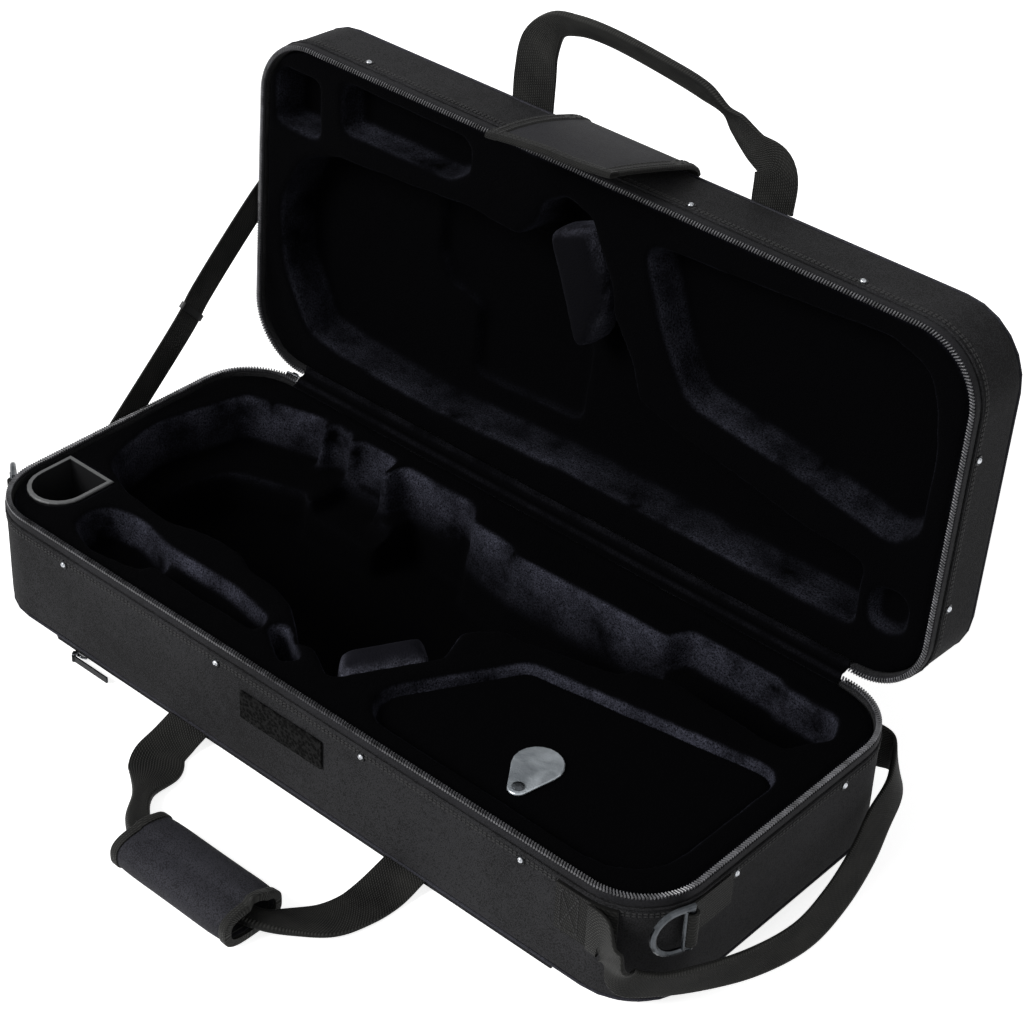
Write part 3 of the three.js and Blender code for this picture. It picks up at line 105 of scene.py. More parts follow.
@dataclass(frozen=True)
class CaseSizes:
    """Sizes of the case in millimetres, the same as in the part's source."""

    length: float = 635.0
    depth: float = 272.0
    base_height: float = 101.0
    lid_height: float = 64.0
    corner: float = 50.0
    edge: float = 14.0
    rim_gap: float = 0.6
    pocket_thickness: float = 3.2
    seat: float = 0.3
    open_angle: float = 93.0
    hinge_behind: float = 1.4
    hinge_below: float = 1.3
    bead_drop: float = 10.0
    coil_height: float = 3.3
    zipper_reach: float = 262.0
    web_width: float = 38.0
    web_thickness: float = 2.2
    seam_binding: float = 3.6
    seam_angle: float = 35.0

    def hinge(self) -> Vector:
        """The hinge axis in the measuring frame."""
        return Vector((0, self.depth + self.hinge_behind, self.base_height - self.hinge_below))

    def face(self, half: Half) -> float:
        """Level of the big outer face of a half."""
        if half is Half.BASE:
            return self.pocket_thickness + self.seat
        return self.base_height + self.lid_height

    def to_rim(self, half: Half) -> float:
        """Direction from the big face to the rim, as a sign along z."""
        return 1.0 if half is Half.BASE else -1.0

    def rim(self, half: Half) -> float:
        """Level of the rim of a half."""
        gap = self.rim_gap / 2
        return self.base_height - gap if half is Half.BASE else self.base_height + gap

    def below_rim(self, half: Half, drop: float) -> float:
        """Level at a distance from the rim."""
        return self.rim(half) - self.to_rim(half) * drop

    def seam(self, half: Half) -> Vector:
        """The line at the front edge where handles and flap are sewn in."""
        offset = self.seam_binding / 2 + self.seat + self.edge
        angle = math.radians(self.seam_angle)
        inset = self.edge - offset * math.cos(angle)
        level = self.edge - offset * math.sin(angle)
        return Vector((0, inset, self.face(half) + self.to_rim(half) * level))


CASE = CaseSizes()


def to_part(half: Half) -> Matrix:
    """The matrix from the measuring frame, closed and in millimetres, to the part's frame.

    Args:
        half: The half that a piece belongs to; the lid's stand open.

    Returns:
        A matrix to metres, with the lid turned back about the hinges.
    """
    centre = Matrix.Scale(MM, 4) @ Matrix.Translation((0, -CASE.depth / 2, 0))
    if half is Half.BASE:
        return centre
    hinge = Matrix.Translation(CASE.hinge())
    turn = Matrix.Rotation(-math.radians(CASE.open_angle), 4, "X")
    return centre @ hinge @ turn @ hinge.inverted()


def deselect() -> None:
    """Leaves edit mode and selects nothing."""
    if bpy.context.object and bpy.context.object.mode != "OBJECT":
        bpy.ops.object.mode_set(mode="OBJECT")
    bpy.ops.object.select_all(action="DESELECT")


def activate(piece: Piece) -> Piece:
    """Makes a piece the only selected and active one."""
    deselect()
    piece.select_set(True)
    bpy.context.view_layer.objects.active = piece
    return piece


def apply(piece: Piece, kind: str, **settings: Any) -> Piece:
    """Adds a modifier to a piece and applies it.

    Args:
        piece: The piece.
        kind: Blender's name of the modifier type.
        settings: Properties of the modifier.

    Returns:
        The piece.
    """
    activate(piece)
    modifier = piece.modifiers.new(kind.title(), kind)
    for name, value in settings.items():
        setattr(modifier, name, value)
    bpy.ops.object.modifier_apply(modifier=modifier.name)
    return piece


def smooth(piece: Piece, degrees: float = 40.0) -> Piece:
    """Shades a piece smooth up to an angle."""
    activate(piece)
    bpy.ops.object.shade_smooth_by_angle(angle=math.radians(degrees))
    return piece


def new_object(name: str, data: bpy.types.ID) -> Piece:
    """An object in the scene for a mesh, a camera or a light."""
    piece = bpy.data.objects.new(name, data)
    bpy.context.scene.collection.objects.link(piece)
    return piece


def round_off(piece: Piece) -> Piece:
    """Shades a piece smooth all over."""
    activate(piece)
    bpy.ops.object.shade_smooth()
    return piece


def uneven(piece: Piece, name: str, size: float, strength: float) -> None:
    """Moves a piece's surface a little by a cloudy pattern.

    Args:
        piece: The piece.
        name: Name of the pattern.
        size: Size of its features in metres.
        strength: Its height in metres.
    """
    texture = bpy.data.textures.new(name, "CLOUDS")
    texture.noise_scale = size
    apply(piece, "DISPLACE", texture=texture, strength=strength, mid_level=0.5, texture_coords="LOCAL")


def path_length(points: Sequence[Vector]) -> float:
    """Length of the straight pieces through points."""
    return sum((b - a).length for a, b in zip(points, points[1:]))


def mesh_piece(
    name: str,
    points: Sequence[Vector],
    faces: Sequence[Sequence[int]],
    corner_uv: Callable[[int, int], tuple[float, float]] | None = None,
) -> Piece:
    """Makes an object from points and faces.

    Args:
        name: Name of the piece.
        points: Its vertices.
        faces: Its faces, as vertex numbers.
        corner_uv: Gives the UV of a face's corner, from face and corner numbers.

    Returns:
        The new object, linked to the scene.
    """
    mesh = bpy.data.meshes.new(name)
    mesh.from_pydata([tuple(p) for p in points], [], [list(f) for f in faces])
    if corner_uv:
        layer = mesh.uv_layers.new(name="Weave")
        for number, polygon in enumerate(mesh.polygons):
            for corner, loop in enumerate(polygon.loop_indices):
                layer.data[loop].uv = corner_uv(number, corner)
    mesh.validate()
    return new_object(name, mesh)


def between(
    rings: int, count: int, step: int = 0, first: int = 0
) -> tuple[list[list[int]], list[tuple[tuple[int, int], ...]]]:
    """The faces of a tube over rings of equally many points.

    Args:
        rings: How many rings there are.
        count: Points in each ring.
        step: From a ring's first point to the next ring's, if there are others between.
        first: Number of the first point.

    Returns:
        The faces, and for each face's corners the place in the ring and the ring's number.
    """
    faces = []
    marks = []
    for k in range(rings - 1):
        near = first + k * (step or count)
        far = near + (step or count)
        for i in range(count):
            j = (i + 1) % count
            faces.append([near + i, near + j, far + j, far + i])
            marks.append(((i, k), (i + 1, k), (i + 1, k + 1), (i, k + 1)))
    return faces, marks


def ringed(name: str, rings: Sequence[Sequence[Vector]], matrix: Matrix) -> Piece:
    """Makes a closed skin over rings of equally many points, with a face over each end.

    Args:
        name: Name of the piece.
        rings: The rings, in order.
        matrix: From the points' frame to the part's.

    Returns:
        The new object.
    """
    count = len(rings[0])
    faces, _ = between(len(rings), count)
    last = (len(rings) - 1) * count
    faces += [list(range(count)), [last + i for i in range(count)]]
    return mesh_piece(name, [matrix @ p for ring in rings for p in ring], faces)


def outwards(piece: Piece) -> Piece:
    """Merges doubles and turns the faces outwards."""
    activate(piece)
    bpy.ops.object.mode_set(mode="EDIT")
    bpy.ops.mesh.select_all(action="SELECT")
    bpy.ops.mesh.remove_doubles(threshold=1e-6)
    bpy.ops.mesh.normals_make_consistent(inside=False)
    bpy.ops.object.mode_set(mode="OBJECT")
    return piece


def node_copy(name: str, node: Piece) -> Piece:
    """A merged copy of a CAD node's mesh, as the start of a softer piece."""
    mesh = node.data.copy()
    mesh.materials.clear()
    return outwards(new_object(name, mesh))


# Curves through stations


def hermite(p0: Vector, p1: Vector, m0: Vector, m1: Vector, t: float) -> Vector:
    """A point of the cubic between two points with two tangents."""
    return (
        p0
        + m0 * t
        + (p1 * 3 - p0 * 3 - m0 * 2 - m1) * t**2
        + (p0 * 2 - p1 * 2 + m0 + m1) * t**3
    )


def curve_point(points: Sequence[Vector], t: float, centripetal: bool) -> Vector:
    """A point of the Catmull-Rom curve through points.

    Args:
        points: The points that the curve passes.
        t: From 0 at the first point to 1 at the last.
        centripetal: Whether the spacing of the points is taken into account.

    Returns:
        The point.
    """
    place = t * (len(points) - 1)
    index = min(int(place), len(points) - 2)
    weight = place - index
    p1, p2 = points[index], points[index + 1]
    p0 = points[index - 1] if index else p1 * 2 - p2
    p3 = points[index + 2] if index + 2 < len(points) else p2 * 2 - p1
    if not centripetal:
        return hermite(p1, p2, (p2 - p0) * 0.5, (p3 - p1) * 0.5, weight)
    d0, d1, d2 = (max((b - a).length ** 0.5, 1e-4) for a, b in ((p0, p1), (p1, p2), (p2, p3)))
    m0 = ((p1 - p0) / d0 - (p2 - p0) / (d0 + d1) + (p2 - p1) / d1) * d1
    m1 = ((p2 - p1) / d1 - (p3 - p1) / (d1 + d2) + (p3 - p2) / d2) * d1
    return hermite(p1, p2, m0, m1, weight)


@dataclass(frozen=True)
class Station:
    """A place on a strap: centre, direction across, width and thickness."""

    at: Vector
    across: Vector
    width: float
    thickness: float


# A webbing's edge is rounded to this share of its thickness, in these steps
EDGE_SHARE = 0.85
EDGE_ANGLES = (0, 22.5, 45, 67.5, 90)
FLAT_SHARES = (0.6, 0.2, -0.2, -0.6)


def web_station(place: Vector, across: Sequence[float], width: float, thick: float) -> Station:
    """A place on a handle, with its size as shares of the plain webbing's."""
    return Station(place, Vector(across), width * CASE.web_width, thick * CASE.web_thickness)


def band_section(width: float, thickness: float) -> list[tuple[float, float, float]]:
    """The section of a band of webbing, with soft edges.

    Args:
        width: Its width.
        thickness: Its thickness.

    Returns:
        Points as across, out, and the share of the way round.
    """
    half, high = width / 2, thickness / 2
    soft = min(high, half) * EDGE_SHARE
    corner = [math.radians(a) for a in EDGE_ANGLES]
    quarter = [(half - soft + soft * math.cos(a), high - soft + soft * math.sin(a)) for a in corner]
    flat = half - soft
    top = quarter + [(flat * share, high) for share in FLAT_SHARES]
    top += [(-x, y) for x, y in reversed(quarter)]
    outline = top + [(-x, -y) for x, y in top]
    around = [0.0]
    for (x0, y0), (x1, y1) in zip(outline, [*outline[1:], outline[0]]):
        around.append(around[-1] + math.hypot(x1 - x0, y1 - y0))
    return [(x, y, length / around[-1]) for (x, y), length in zip(outline, around)]


@dataclass
class Strap:
    """A band carried through stations, with its own UV map along and across."""

    name: str
    stations: list[Station]
    steps: int

    def frames(self) -> list[tuple[Vector, Vector, Vector, float, float]]:
        """Places along the strap, as centre, across, normal, width and thickness."""
        found = []
        at = [s.at for s in self.stations]
        across = [s.across for s in self.stations]
        sizes = [Vector((s.width, s.thickness, 0)) for s in self.stations]
        step = 1e-4
        for k in range(self.steps + 1):
            t = k / self.steps
            low, high = max(t - step, 0.0), min(t + step, 1.0)
            along = (curve_point(at, high, True) - curve_point(at, low, True)).normalized()
            side = curve_point(across, t, False)
            side = (side - along * side.dot(along)).normalized()
            size = curve_point(sizes, t, False)
            found.append((curve_point(at, t, True), side, along.cross(side), size.x, size.y))
        return found

    def build(self, matrix: Matrix) -> Piece:
        """Makes the strap.

        Args:
            matrix: From the stations' frame to the part's.

        Returns:
            The strap, with UV in metres across and along.
        """
        points: list[Vector] = []
        lengths = [0.0]
        frames = self.frames()
        for number, (place, side, normal, width, thickness) in enumerate(frames):
            ring = band_section(width, thickness)
            count = len(ring)
            points += [place + side * a + normal * n for a, n, _ in ring]
            if number:
                lengths.append(lengths[-1] + (place - frames[number - 1][0]).length)
        shares = [*(share for _, _, share in band_section(*frames[0][3:])), 1.0]
        faces, marks = between(len(frames), count)
        last = (len(frames) - 1) * count
        faces += [list(range(count))[::-1], [last + i for i in range(count)]]
        around = 2 * (frames[0][3] + frames[0][4]) * MM

        def corner_uv(face: int, corner: int) -> tuple[float, float]:
            if face >= len(marks):
                return (0.0, 0.0)
            place, k = marks[face][corner]
            return (shares[place] * around, lengths[k] * MM)

        piece = mesh_piece(self.name, [matrix @ p for p in points], faces, corner_uv)
        return smooth(outwards(piece), 50)


# Finishes


def linear(code: str) -> tuple[float, float, float, float]:
    """A linear colour from an sRGB hex code."""
    parts = [int(code[i : i + 2], 16) / 255 for i in (1, 3, 5)]
    red, green, blue = (c / 12.92 if c <= 0.04045 else ((c + 0.055) / 1.055) ** 2.4 for c in parts)
    return (red, green, blue, 1.0)


def feed(tree: Tree, node: bpy.types.Node, inputs: dict[Any, Any]) -> None:
    """Gives a node's inputs their values or links, by name or number."""
    for name, value in inputs.items():
        if isinstance(value, Socket):
            tree.links.new(value, node.inputs[name])
        else:
            node.inputs[name].default_value = value


def add_node(
    tree: Tree,
    kind: str,
    settings: dict[str, Any] | None = None,
    inputs: dict[Any, Any] | None = None,
) -> bpy.types.Node:
    """Adds a node to a material.

    Args:
        tree: The material's node tree.
        kind: Blender's name of the node type, without the ShaderNode prefix.
        settings: Properties of the node.
        inputs: Values or sockets for its inputs, by name or number.

    Returns:
        The node.
    """
    node = tree.nodes.new("ShaderNode" + kind)
    for name, value in (settings or {}).items():
        setattr(node, name, value)
    feed(tree, node, inputs or {})
    return node


@dataclass(frozen=True)
class Graph:
    """The nodes of one material; each call adds a node and gives its output."""

    tree: Tree
    shader: bpy.types.Node

    def node(
        self, kind: str, output: int | str, settings: dict[str, Any], inputs: dict[Any, Any]
    ) -> Socket:
        """One output of a new node."""
        return add_node(self.tree, kind, settings, inputs).outputs[output]

    def at(self, name: str = "Object") -> Socket:
        """Texture coordinates of the object, or its normals."""
        return self.node("TexCoord", name, {}, {})

    def noise(
        self, where: Socket, size_mm: float, detail: float, **more: float
    ) -> Socket:
        """A cloudy pattern with features of a real size."""
        inputs = {"Vector": where, "Scale": 1 / (size_mm * MM), "Detail": detail, **more}
        return self.node("TexNoise", 0, {}, inputs)

    def cells(
        self, where: Socket, size_mm: float, feature: str = "F1"
    ) -> Socket:
        """Distances in a pattern of cells of a real size."""
        inputs = {"Vector": where, "Scale": 1 / (size_mm * MM)}
        return self.node("TexVoronoi", 0, {"feature": feature}, inputs)

    def wave(
        self, where: Socket, way: str, scale: float, distortion: float
    ) -> Socket:
        """Bands across one direction."""
        inputs = {"Vector": where, "Scale": scale, "Distortion": distortion}
        return self.node("TexWave", 1, {"bands_direction": way}, inputs)

    def math(self, operation: str, *values: Any, clamp: bool = False) -> Socket:
        """A sum of sockets and numbers."""
        settings = {"operation": operation, "use_clamp": clamp}
        return self.node("Math", 0, settings, dict(enumerate(values)))

    def dot(self, vector: Socket, axis: Row) -> Socket:
        """How far a vector reaches along an axis."""
        return self.node("VectorMath", "Value", {"operation": "DOT_PRODUCT"}, {0: vector, 1: axis})

    def split(self, vector: Socket) -> bpy.types.bpy_prop_collection:
        """The three parts of a vector."""
        return add_node(self.tree, "SeparateXYZ", {}, {0: vector}).outputs

    def ramp(
        self,
        value: Socket,
        low: float,
        high: float,
        form: str = "LINEAR",
        to: tuple[float, float] = (0.0, 1.0),
    ) -> Socket:
        """A value taken from between two limits to another range."""
        inputs = {0: value, 1: low, 2: high, 3: to[0], 4: to[1]}
        return self.node("MapRange", 0, {"interpolation_type": form}, inputs)

    def mix(self, factor: Socket, low: Any, high: Any) -> Socket:
        """A colour between two colours."""
        return self.node("Mix", 2, {"data_type": "RGBA"}, {0: factor, 6: low, 7: high})

    def bump(self, height: Socket, depth_mm: float) -> None:
        """Raises the surface by a height pattern of a real depth."""
        inputs = {"Height": height, "Distance": depth_mm * MM, "Strength": 1.0}
        self.feed({"Normal": self.node("Bump", 0, {}, inputs)})

    def feed(self, inputs: dict[str, Any]) -> None:
        """Gives the shader's inputs their values or links."""
        feed(self.tree, self.shader, inputs)


@dataclass(frozen=True)
class Finish:
    """What every finish has: a name, a colour, a shade of it and a roughness."""

    name: str
    color: str
    shade: str
    roughness: float

    def build(self) -> bpy.types.Material:
        """Makes the material."""
        material = bpy.data.materials.new(self.name)
        material.use_nodes = True
        tree = material.node_tree
        graph = Graph(tree, next(n for n in tree.nodes if n.type == "BSDF_PRINCIPLED"))
        graph.feed({"Roughness": self.roughness, "Base Color": linear(self.color)})
        self.dress(graph)
        return material

    def dress(self, graph: Graph) -> None:
        """Adds the finish's pattern; each finish has its own.

        Args:
            graph: The material's nodes.
        """

    def mixed(self, graph: Graph, factor: Socket) -> Socket:
        """The colour between shade and colour by a factor."""
        return graph.mix(factor, linear(self.shade), linear(self.color))


@dataclass(frozen=True)
class WovenPolyester(Finish):
    """Woven polyester over board: matt, with a fine grain of threads and slight fading."""

    # Threads of 0.5 mm don't show in the render, so they are drawn coarser
    thread_mm: float = 0.9
    depth_mm: float = 0.2
    slub_mm: float = 9.0
    fade_mm: float = 120.0

    def dress(self, graph: Graph) -> None:
        """A grain of threads, thicker places in them, and soft, large variation."""
        where = graph.at()
        grain = graph.cells(where, self.thread_mm)
        slub = graph.noise(where, self.slub_mm, 4.0, Roughness=0.6)
        fade = graph.noise(where, self.fade_mm, 3.0)
        blend = graph.math("MULTIPLY_ADD", slub, 0.45, fade)
        blend = graph.math("MULTIPLY_ADD", grain, -0.9, blend)
        graph.feed({"Base Color": self.mixed(graph, graph.ramp(blend, 0.08, 0.52))})
        graph.bump(graph.math("MULTIPLY_ADD", slub, 0.5, grain), self.depth_mm)
        graph.feed({"Sheen Weight": 0.02, "Sheen Roughness": 0.5, "Specular IOR Level": 0.1})


@dataclass(frozen=True)
class Plush(Finish):
    """Short pile on moulded foam: black, with painted light on its walls and painted shade deep in a
    pocket.
    """

    # The direction out of the half and how far along it the compartments open, in metres; they place the
    # painted light and shade
    axis: Row = (0.0, 0.0, 1.0)
    mouth: float = 0.1007
    # Painted shade reaches full strength at this depth below the mouth, and none at lip_mm
    depth_mm: float = 55.0
    pile_mm: float = 1.2
    lip_mm: float = 6.0
    brushed_mm: float = 34.0
    nap_mm: float = 0.7

    def dress(self, graph: Graph) -> None:
        """Painted light on the walls, painted shade deep in a pocket, brushed patches and a fuzzy
        surface.
        """
        where = graph.at()
        flat = graph.math("ABSOLUTE", graph.dot(graph.at("Normal"), self.axis))
        brushed = graph.noise(where, self.brushed_mm, 3.0, Roughness=0.6)
        pile = graph.noise(where, self.pile_mm, 2.0)
        # Painted light: walls take the lit colour, while faces turned along the axis, such as floors,
        # stay dark
        wall = graph.ramp(flat, 0.97, 0.3, "SMOOTHSTEP")
        # Painted shade: deep in a pocket the colour darkens with its distance from the mouth
        bottom, lip = self.mouth - self.depth_mm * MM, self.mouth - self.lip_mm * MM
        painted_depth_shade = graph.ramp(graph.dot(where, self.axis), bottom, lip, "SMOOTHSTEP")
        wall = graph.math("MULTIPLY", wall, painted_depth_shade)
        lit = graph.math("MULTIPLY_ADD", brushed, 2.4, -0.7)
        lit = graph.math("MULTIPLY", lit, wall, clamp=True)
        speck = graph.math("MULTIPLY_ADD", pile, 2.8, -0.75)
        lit = graph.math("MULTIPLY", lit, speck, clamp=True)
        graph.feed({"Base Color": self.mixed(graph, lit), "Specular IOR Level": 0.02})
        graph.bump(graph.math("MULTIPLY_ADD", brushed, 1.2, pile), self.nap_mm)


@dataclass(frozen=True)
class Webbing(Finish):
    """Woven webbing with ribs along it and a dense cross weave; it reads its own UV map."""

    rib_mm: float = 1.5
    mapped: bool = True
    slant: float = 34.0
    worn_mm: float = 30.0
    depth_mm: float = 0.45

    def dress(self, graph: Graph) -> None:
        """Ribs with the weave's slanted yarns between them."""
        if self.mapped:
            where = graph.node("UVMap", 0, {"uv_map": "Weave"}, {})
        else:
            # On flat patches the ribs run level: across the strap is up, along it is x less y
            parts = graph.split(graph.at())
            along = graph.math("SUBTRACT", parts[0], parts[1])
            where = graph.node("CombineXYZ", 0, {}, {0: parts[2], 1: along})
        # The wave texture has twenty bands in a length of two pi
        scale = 2 * math.pi / 20 / (self.rib_mm * MM)
        ribs = graph.wave(where, "X", scale, 0.0)
        slant = graph.node("Mapping", 0, {}, {0: where, 2: (0.0, 0.0, math.radians(self.slant))})
        yarns = graph.wave(slant, "Y", scale * 1.15, 0.4)
        both = graph.math("MULTIPLY", ribs, yarns)
        tone = graph.math("MULTIPLY_ADD", both, 0.8, graph.noise(where, self.worn_mm, 3.0))
        graph.feed({"Base Color": self.mixed(graph, graph.ramp(tone, 0.4, 1.0))})
        graph.bump(both, self.depth_mm)
        graph.feed({"Sheen Weight": 0.02, "Specular IOR Level": 0.14})


@dataclass(frozen=True)
class TouchFastener(Finish):
    """Hook or loop tape: a mottled nap of tiny loops."""

    nap_mm: float = 1.4
    depth_mm: float = 1.2

    def dress(self, graph: Graph) -> None:
        """A crossed, mottled nap."""
        where = graph.at()
        nap = graph.noise(where, self.nap_mm, 3.0, Roughness=0.7)
        tone = graph.math("MULTIPLY", nap, graph.cells(where, 2 * self.nap_mm))
        graph.feed({"Base Color": self.mixed(graph, graph.ramp(tone, 0.2, 0.36))})
        graph.bump(tone, self.depth_mm)
        graph.feed({"Specular IOR Level": 0.06})


@dataclass(frozen=True)
class NylonCoil(Finish):
    """Nylon monofilament: smooth, half glossy, with small highlights on each turn."""

    turn_mm: float = 6.0

    def dress(self, graph: Graph) -> None:
        """Slight difference from turn to turn."""
        tone = graph.noise(graph.at(), self.turn_mm, 2.0)
        graph.feed({"Base Color": self.mixed(graph, graph.ramp(tone, 0.3, 0.7)), "IOR": 1.53})


@dataclass(frozen=True)
class PlatedMetal(Finish):
    """Plated or cast metal with a faintly uneven surface."""

    grain_mm: float = 2.0
    depth_mm: float = 0.03

    def dress(self, graph: Graph) -> None:
        """Fine pitting and dull patches."""
        grain = graph.noise(graph.at(), self.grain_mm, 4.0)
        color = self.mixed(graph, graph.ramp(grain, 0.35, 0.65))
        dull = graph.ramp(grain, 0.3, 0.7, to=(self.roughness * 0.8, self.roughness * 1.3))
        graph.feed({"Base Color": color, "Roughness": dull, "Metallic": 1.0})
        graph.bump(grain, self.depth_mm)


@dataclass(frozen=True)
class MouldedPlastic(Finish):
    """Injection moulded plastic with a fine eroded texture."""

    grain_mm: float = 1.2
    # Level below which the colour fades to painted shade; nought for none
    shade_below: float = 0.0
    dust_mm: float = 18.0
    depth_mm: float = 0.08
    rim_mm: float = 0.4
    # Colour of the painted shade in a well
    painted_well_shade: str = "#0a0a0c"

    def dress(self, graph: Graph) -> None:
        """Fine texture, a trace of dust and painted shade in the well below the rim."""
        where = graph.at()
        grain = graph.noise(where, self.grain_mm, 3.0)
        color = self.mixed(graph, graph.ramp(graph.noise(where, self.dust_mm, 4.0), 0.3, 0.7))
        if self.shade_below:
            # Painted shade: only the rim keeps the grey colour; below it the well's colour fades to near
            # black
            height = graph.split(where)[2]
            unshaded = graph.ramp(height, self.shade_below - self.rim_mm * MM, self.shade_below)
            color = graph.mix(unshaded, linear(self.painted_well_shade), color)
        graph.feed({"Base Color": color, "IOR": 1.5})
        graph.bump(grain, self.depth_mm)


@dataclass(frozen=True)
class CoatedLeather(Finish):
    """Split leather with a metallic coat, slightly creased."""

    streak_mm: float = 20.0
    crease_mm: float = 2.2
    depth_mm: float = 0.1

    def dress(self, graph: Graph) -> None:
        """Soft creases and a streaked coat."""
        where = graph.at()
        streak = graph.noise(where, self.streak_mm, 5.0, Distortion=0.8)
        color = self.mixed(graph, graph.ramp(streak, 0.3, 0.7))
        graph.feed({"Base Color": color, "Metallic": 0.55})
        graph.bump(graph.cells(where, self.crease_mm, "DISTANCE_TO_EDGE"), self.depth_mm)


# Woven polyester, dyed black: matt and faintly mottled, with a grain of threads
FABRIC = WovenPolyester("woven_polyester", "#303032", "#171718", 0.82)
POCKET_FABRIC = WovenPolyester("pocket_polyester", "#2b2b2d", "#141415", 0.85)
# A closer weave on the padded wrap and the flap: a little smoother and bluer
WRAP_FABRIC = WovenPolyester("close_woven_wrap", "#34343a", "#1a1a1e", 0.66, 0.9, 0.12)
# The flap's cloth, the same weave in a darker colour
FLAP_FABRIC = WovenPolyester("close_woven_flap", "#252529", "#111114", 0.7, 0.9, 0.12)
# The welt of the big edges: the same cloth, its colour painted lighter and bluer for the highlight along
# the rounded cord
WELT = WovenPolyester("welt_cloth", "#36363e", "#1e1e22", 0.6, 0.9, 0.08)
# Knitted plush glued on moulded foam: black, with a painted bluish light on its walls and painted shade
# deep in its pockets
BASE_PLUSH = Plush("base_plush", "#484955", "#030304", 0.95)
LID_AXIS, LID_MOUTH = (0.0, -0.9986, 0.0523), -0.1336
LID_PLUSH = Plush("lid_plush", "#34353e", "#030304", 0.95, LID_AXIS, LID_MOUTH)
# The strip over the hinges lies in the gap between the halves: the same plush, its colour painted darker
# for the shade of the gap
HINGE_PLUSH = Plush("hinge_strip_plush", "#17171b", "#030304", 0.95)
# The bolsters' plush stands free: a paler painted light on its sides while the top stays dark, and hardly
# any painted shade with depth
BASE_BOLSTER_PLUSH = Plush("base_bolster_plush", "#7a7b8a", "#18181d", 0.95, depth_mm=400.0)
LID_BOLSTER_PLUSH = Plush("lid_bolster_plush", "#5e5f6c", "#0d0d10", 0.95, LID_AXIS, LID_MOUTH, 400.0)
# Polypropylene webbing: ribs along the strap with a waxy shine on the yarns
WEBBING = Webbing("ribbed_webbing", "#2c2c2a", "#030303", 0.6, 1.9)
PATCH_WEBBING = Webbing("sewn_webbing", "#1c1c1a", "#030303", 0.7, 2.2, False)
# The binding of the flap: a thinner webbing folded over the edge, darker than the cloth
BINDING = Webbing("binding_tape", "#1f1f1d", "#030303", 0.66, 1.8)
# Hook and loop tape of nylon: a dull nap that swallows most of the light
HOOK_TAPE = TouchFastener("hook_tape", "#181817", "#080808", 0.8)
LOOP_TAPE = TouchFastener("loop_tape", "#1d1d1d", "#020202", 0.9)
# Zipper tape, a herringbone of fine black thread: it reads as plain and dark
TAPE = WovenPolyester("zipper_tape_weave", "#242427", "#151517", 0.7, 0.9, 0.1)
# Nylon monofilament coil, pressed to shape: its gloss gives each turn a highlight, and its grey colour
# adds painted highlight on the dark nylon
COIL = NylonCoil("nylon_coil", "#66666a", "#38383a", 0.25)
# Bonded nylon sewing thread, waxed black: darker than the cloth that it holds
THREAD = NylonCoil("sewing_thread", "#0a0a0b", "#050506", 0.85)
# Nickel on pressed steel: its colour is painted dark for the dark room that it reflects, with small
# bright edges
NICKEL = PlatedMetal("nickel_painted_dark", "#6d6f73", "#4a4c50", 0.24)
# Steel of the hinge leaves and the pocket's pull, coloured nearly black
HINGE_STEEL = PlatedMetal("near_black_steel", "#2a2b2d", "#18191a", 0.42)
# Die-cast zinc, tumbled and plated dark: satin, with a soft light line along each wire
CAST = PlatedMetal("satin_zinc", "#505357", "#3d4043", 0.3, 5.0, 0.02)
# The studs: a polished dome that shows the bright room, in a collar that stays dark
STUD_DOME = PlatedMetal("polished_nickel", "#c2c4c8", "#8f9297", 0.14, 2.0, 0.01)
STUD_COLLAR = PlatedMetal("dark_nickel_collar", "#1d1e20", "#121314", 0.35)
# Moulded plastic with an eroded surface: the rim of the well is dull grey, and the well below it is
# painted near black for its shade
GREY_PLASTIC = MouldedPlastic("moulded_abs", "#5f6061", "#505152", 0.5, 1.2, 0.0973)
BLACK_PLASTIC = MouldedPlastic("black_acetal", "#151516", "#0d0d0e", 0.4)
# Split leather with a silver coat: half metallic, slightly creased
SILVER_LEATHER = CoatedLeather("coated_leather", "#c3cad0", "#70767c", 0.34)


class Workshop:
    """Keeps the frame's nodes and the materials, and finishes every piece."""

    def __init__(self, frame: dict[str, Any]) -> None:
        """Remembers the frame's nodes.
        """
        self.nodes: dict[str, Piece] = frame["nodes"]
        self.materials: dict[str, bpy.types.Material] = {}

    def material(self, finish: Finish) -> bpy.types.Material:
        """The material of a finish, made once."""
        if finish.name not in self.materials:
            self.materials[finish.name] = finish.build()
        return self.materials[finish.name]

    def paint(self, finish: Finish, *names: str) -> None:
        """Gives CAD nodes a finish.

        Args:
            finish: The finish.
            names: The nodes' names.
        """
        for name in names:
            mesh = self.nodes[name].data
            mesh.materials.clear()
            mesh.materials.append(self.material(finish))
            log.info("%s keeps its CAD mesh, in %s", name, finish.name)

    def place(
        self,
        piece: Piece,
        finish: Finish,
        body: str,
        slot: str,
        replaced: Sequence[str] = (),
    ) -> Piece:
        """Finishes a new piece and hands it to its body.

        Args:
            piece: The piece, in the part's frame.
            finish: Its finish.
            body: The body it rides on, or an empty name to leave it on none.
            slot: The record's material slot; not used.
            replaced: CAD nodes that it stands for.

        Returns:
            The piece.
        """
        piece.data.materials.clear()
        piece.data.materials.append(self.material(finish))
        if body:
            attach(piece, body)
        if replaced:
            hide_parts(*replaced)
        log.info("%s: %d faces, on %s", piece.name, len(piece.data.polygons), body or "two bodies")
        return piece


@dataclass
class Assembly:
    """A group of pieces, made with the tools of one workshop."""

    shop: Workshop


# What repeats along a seam


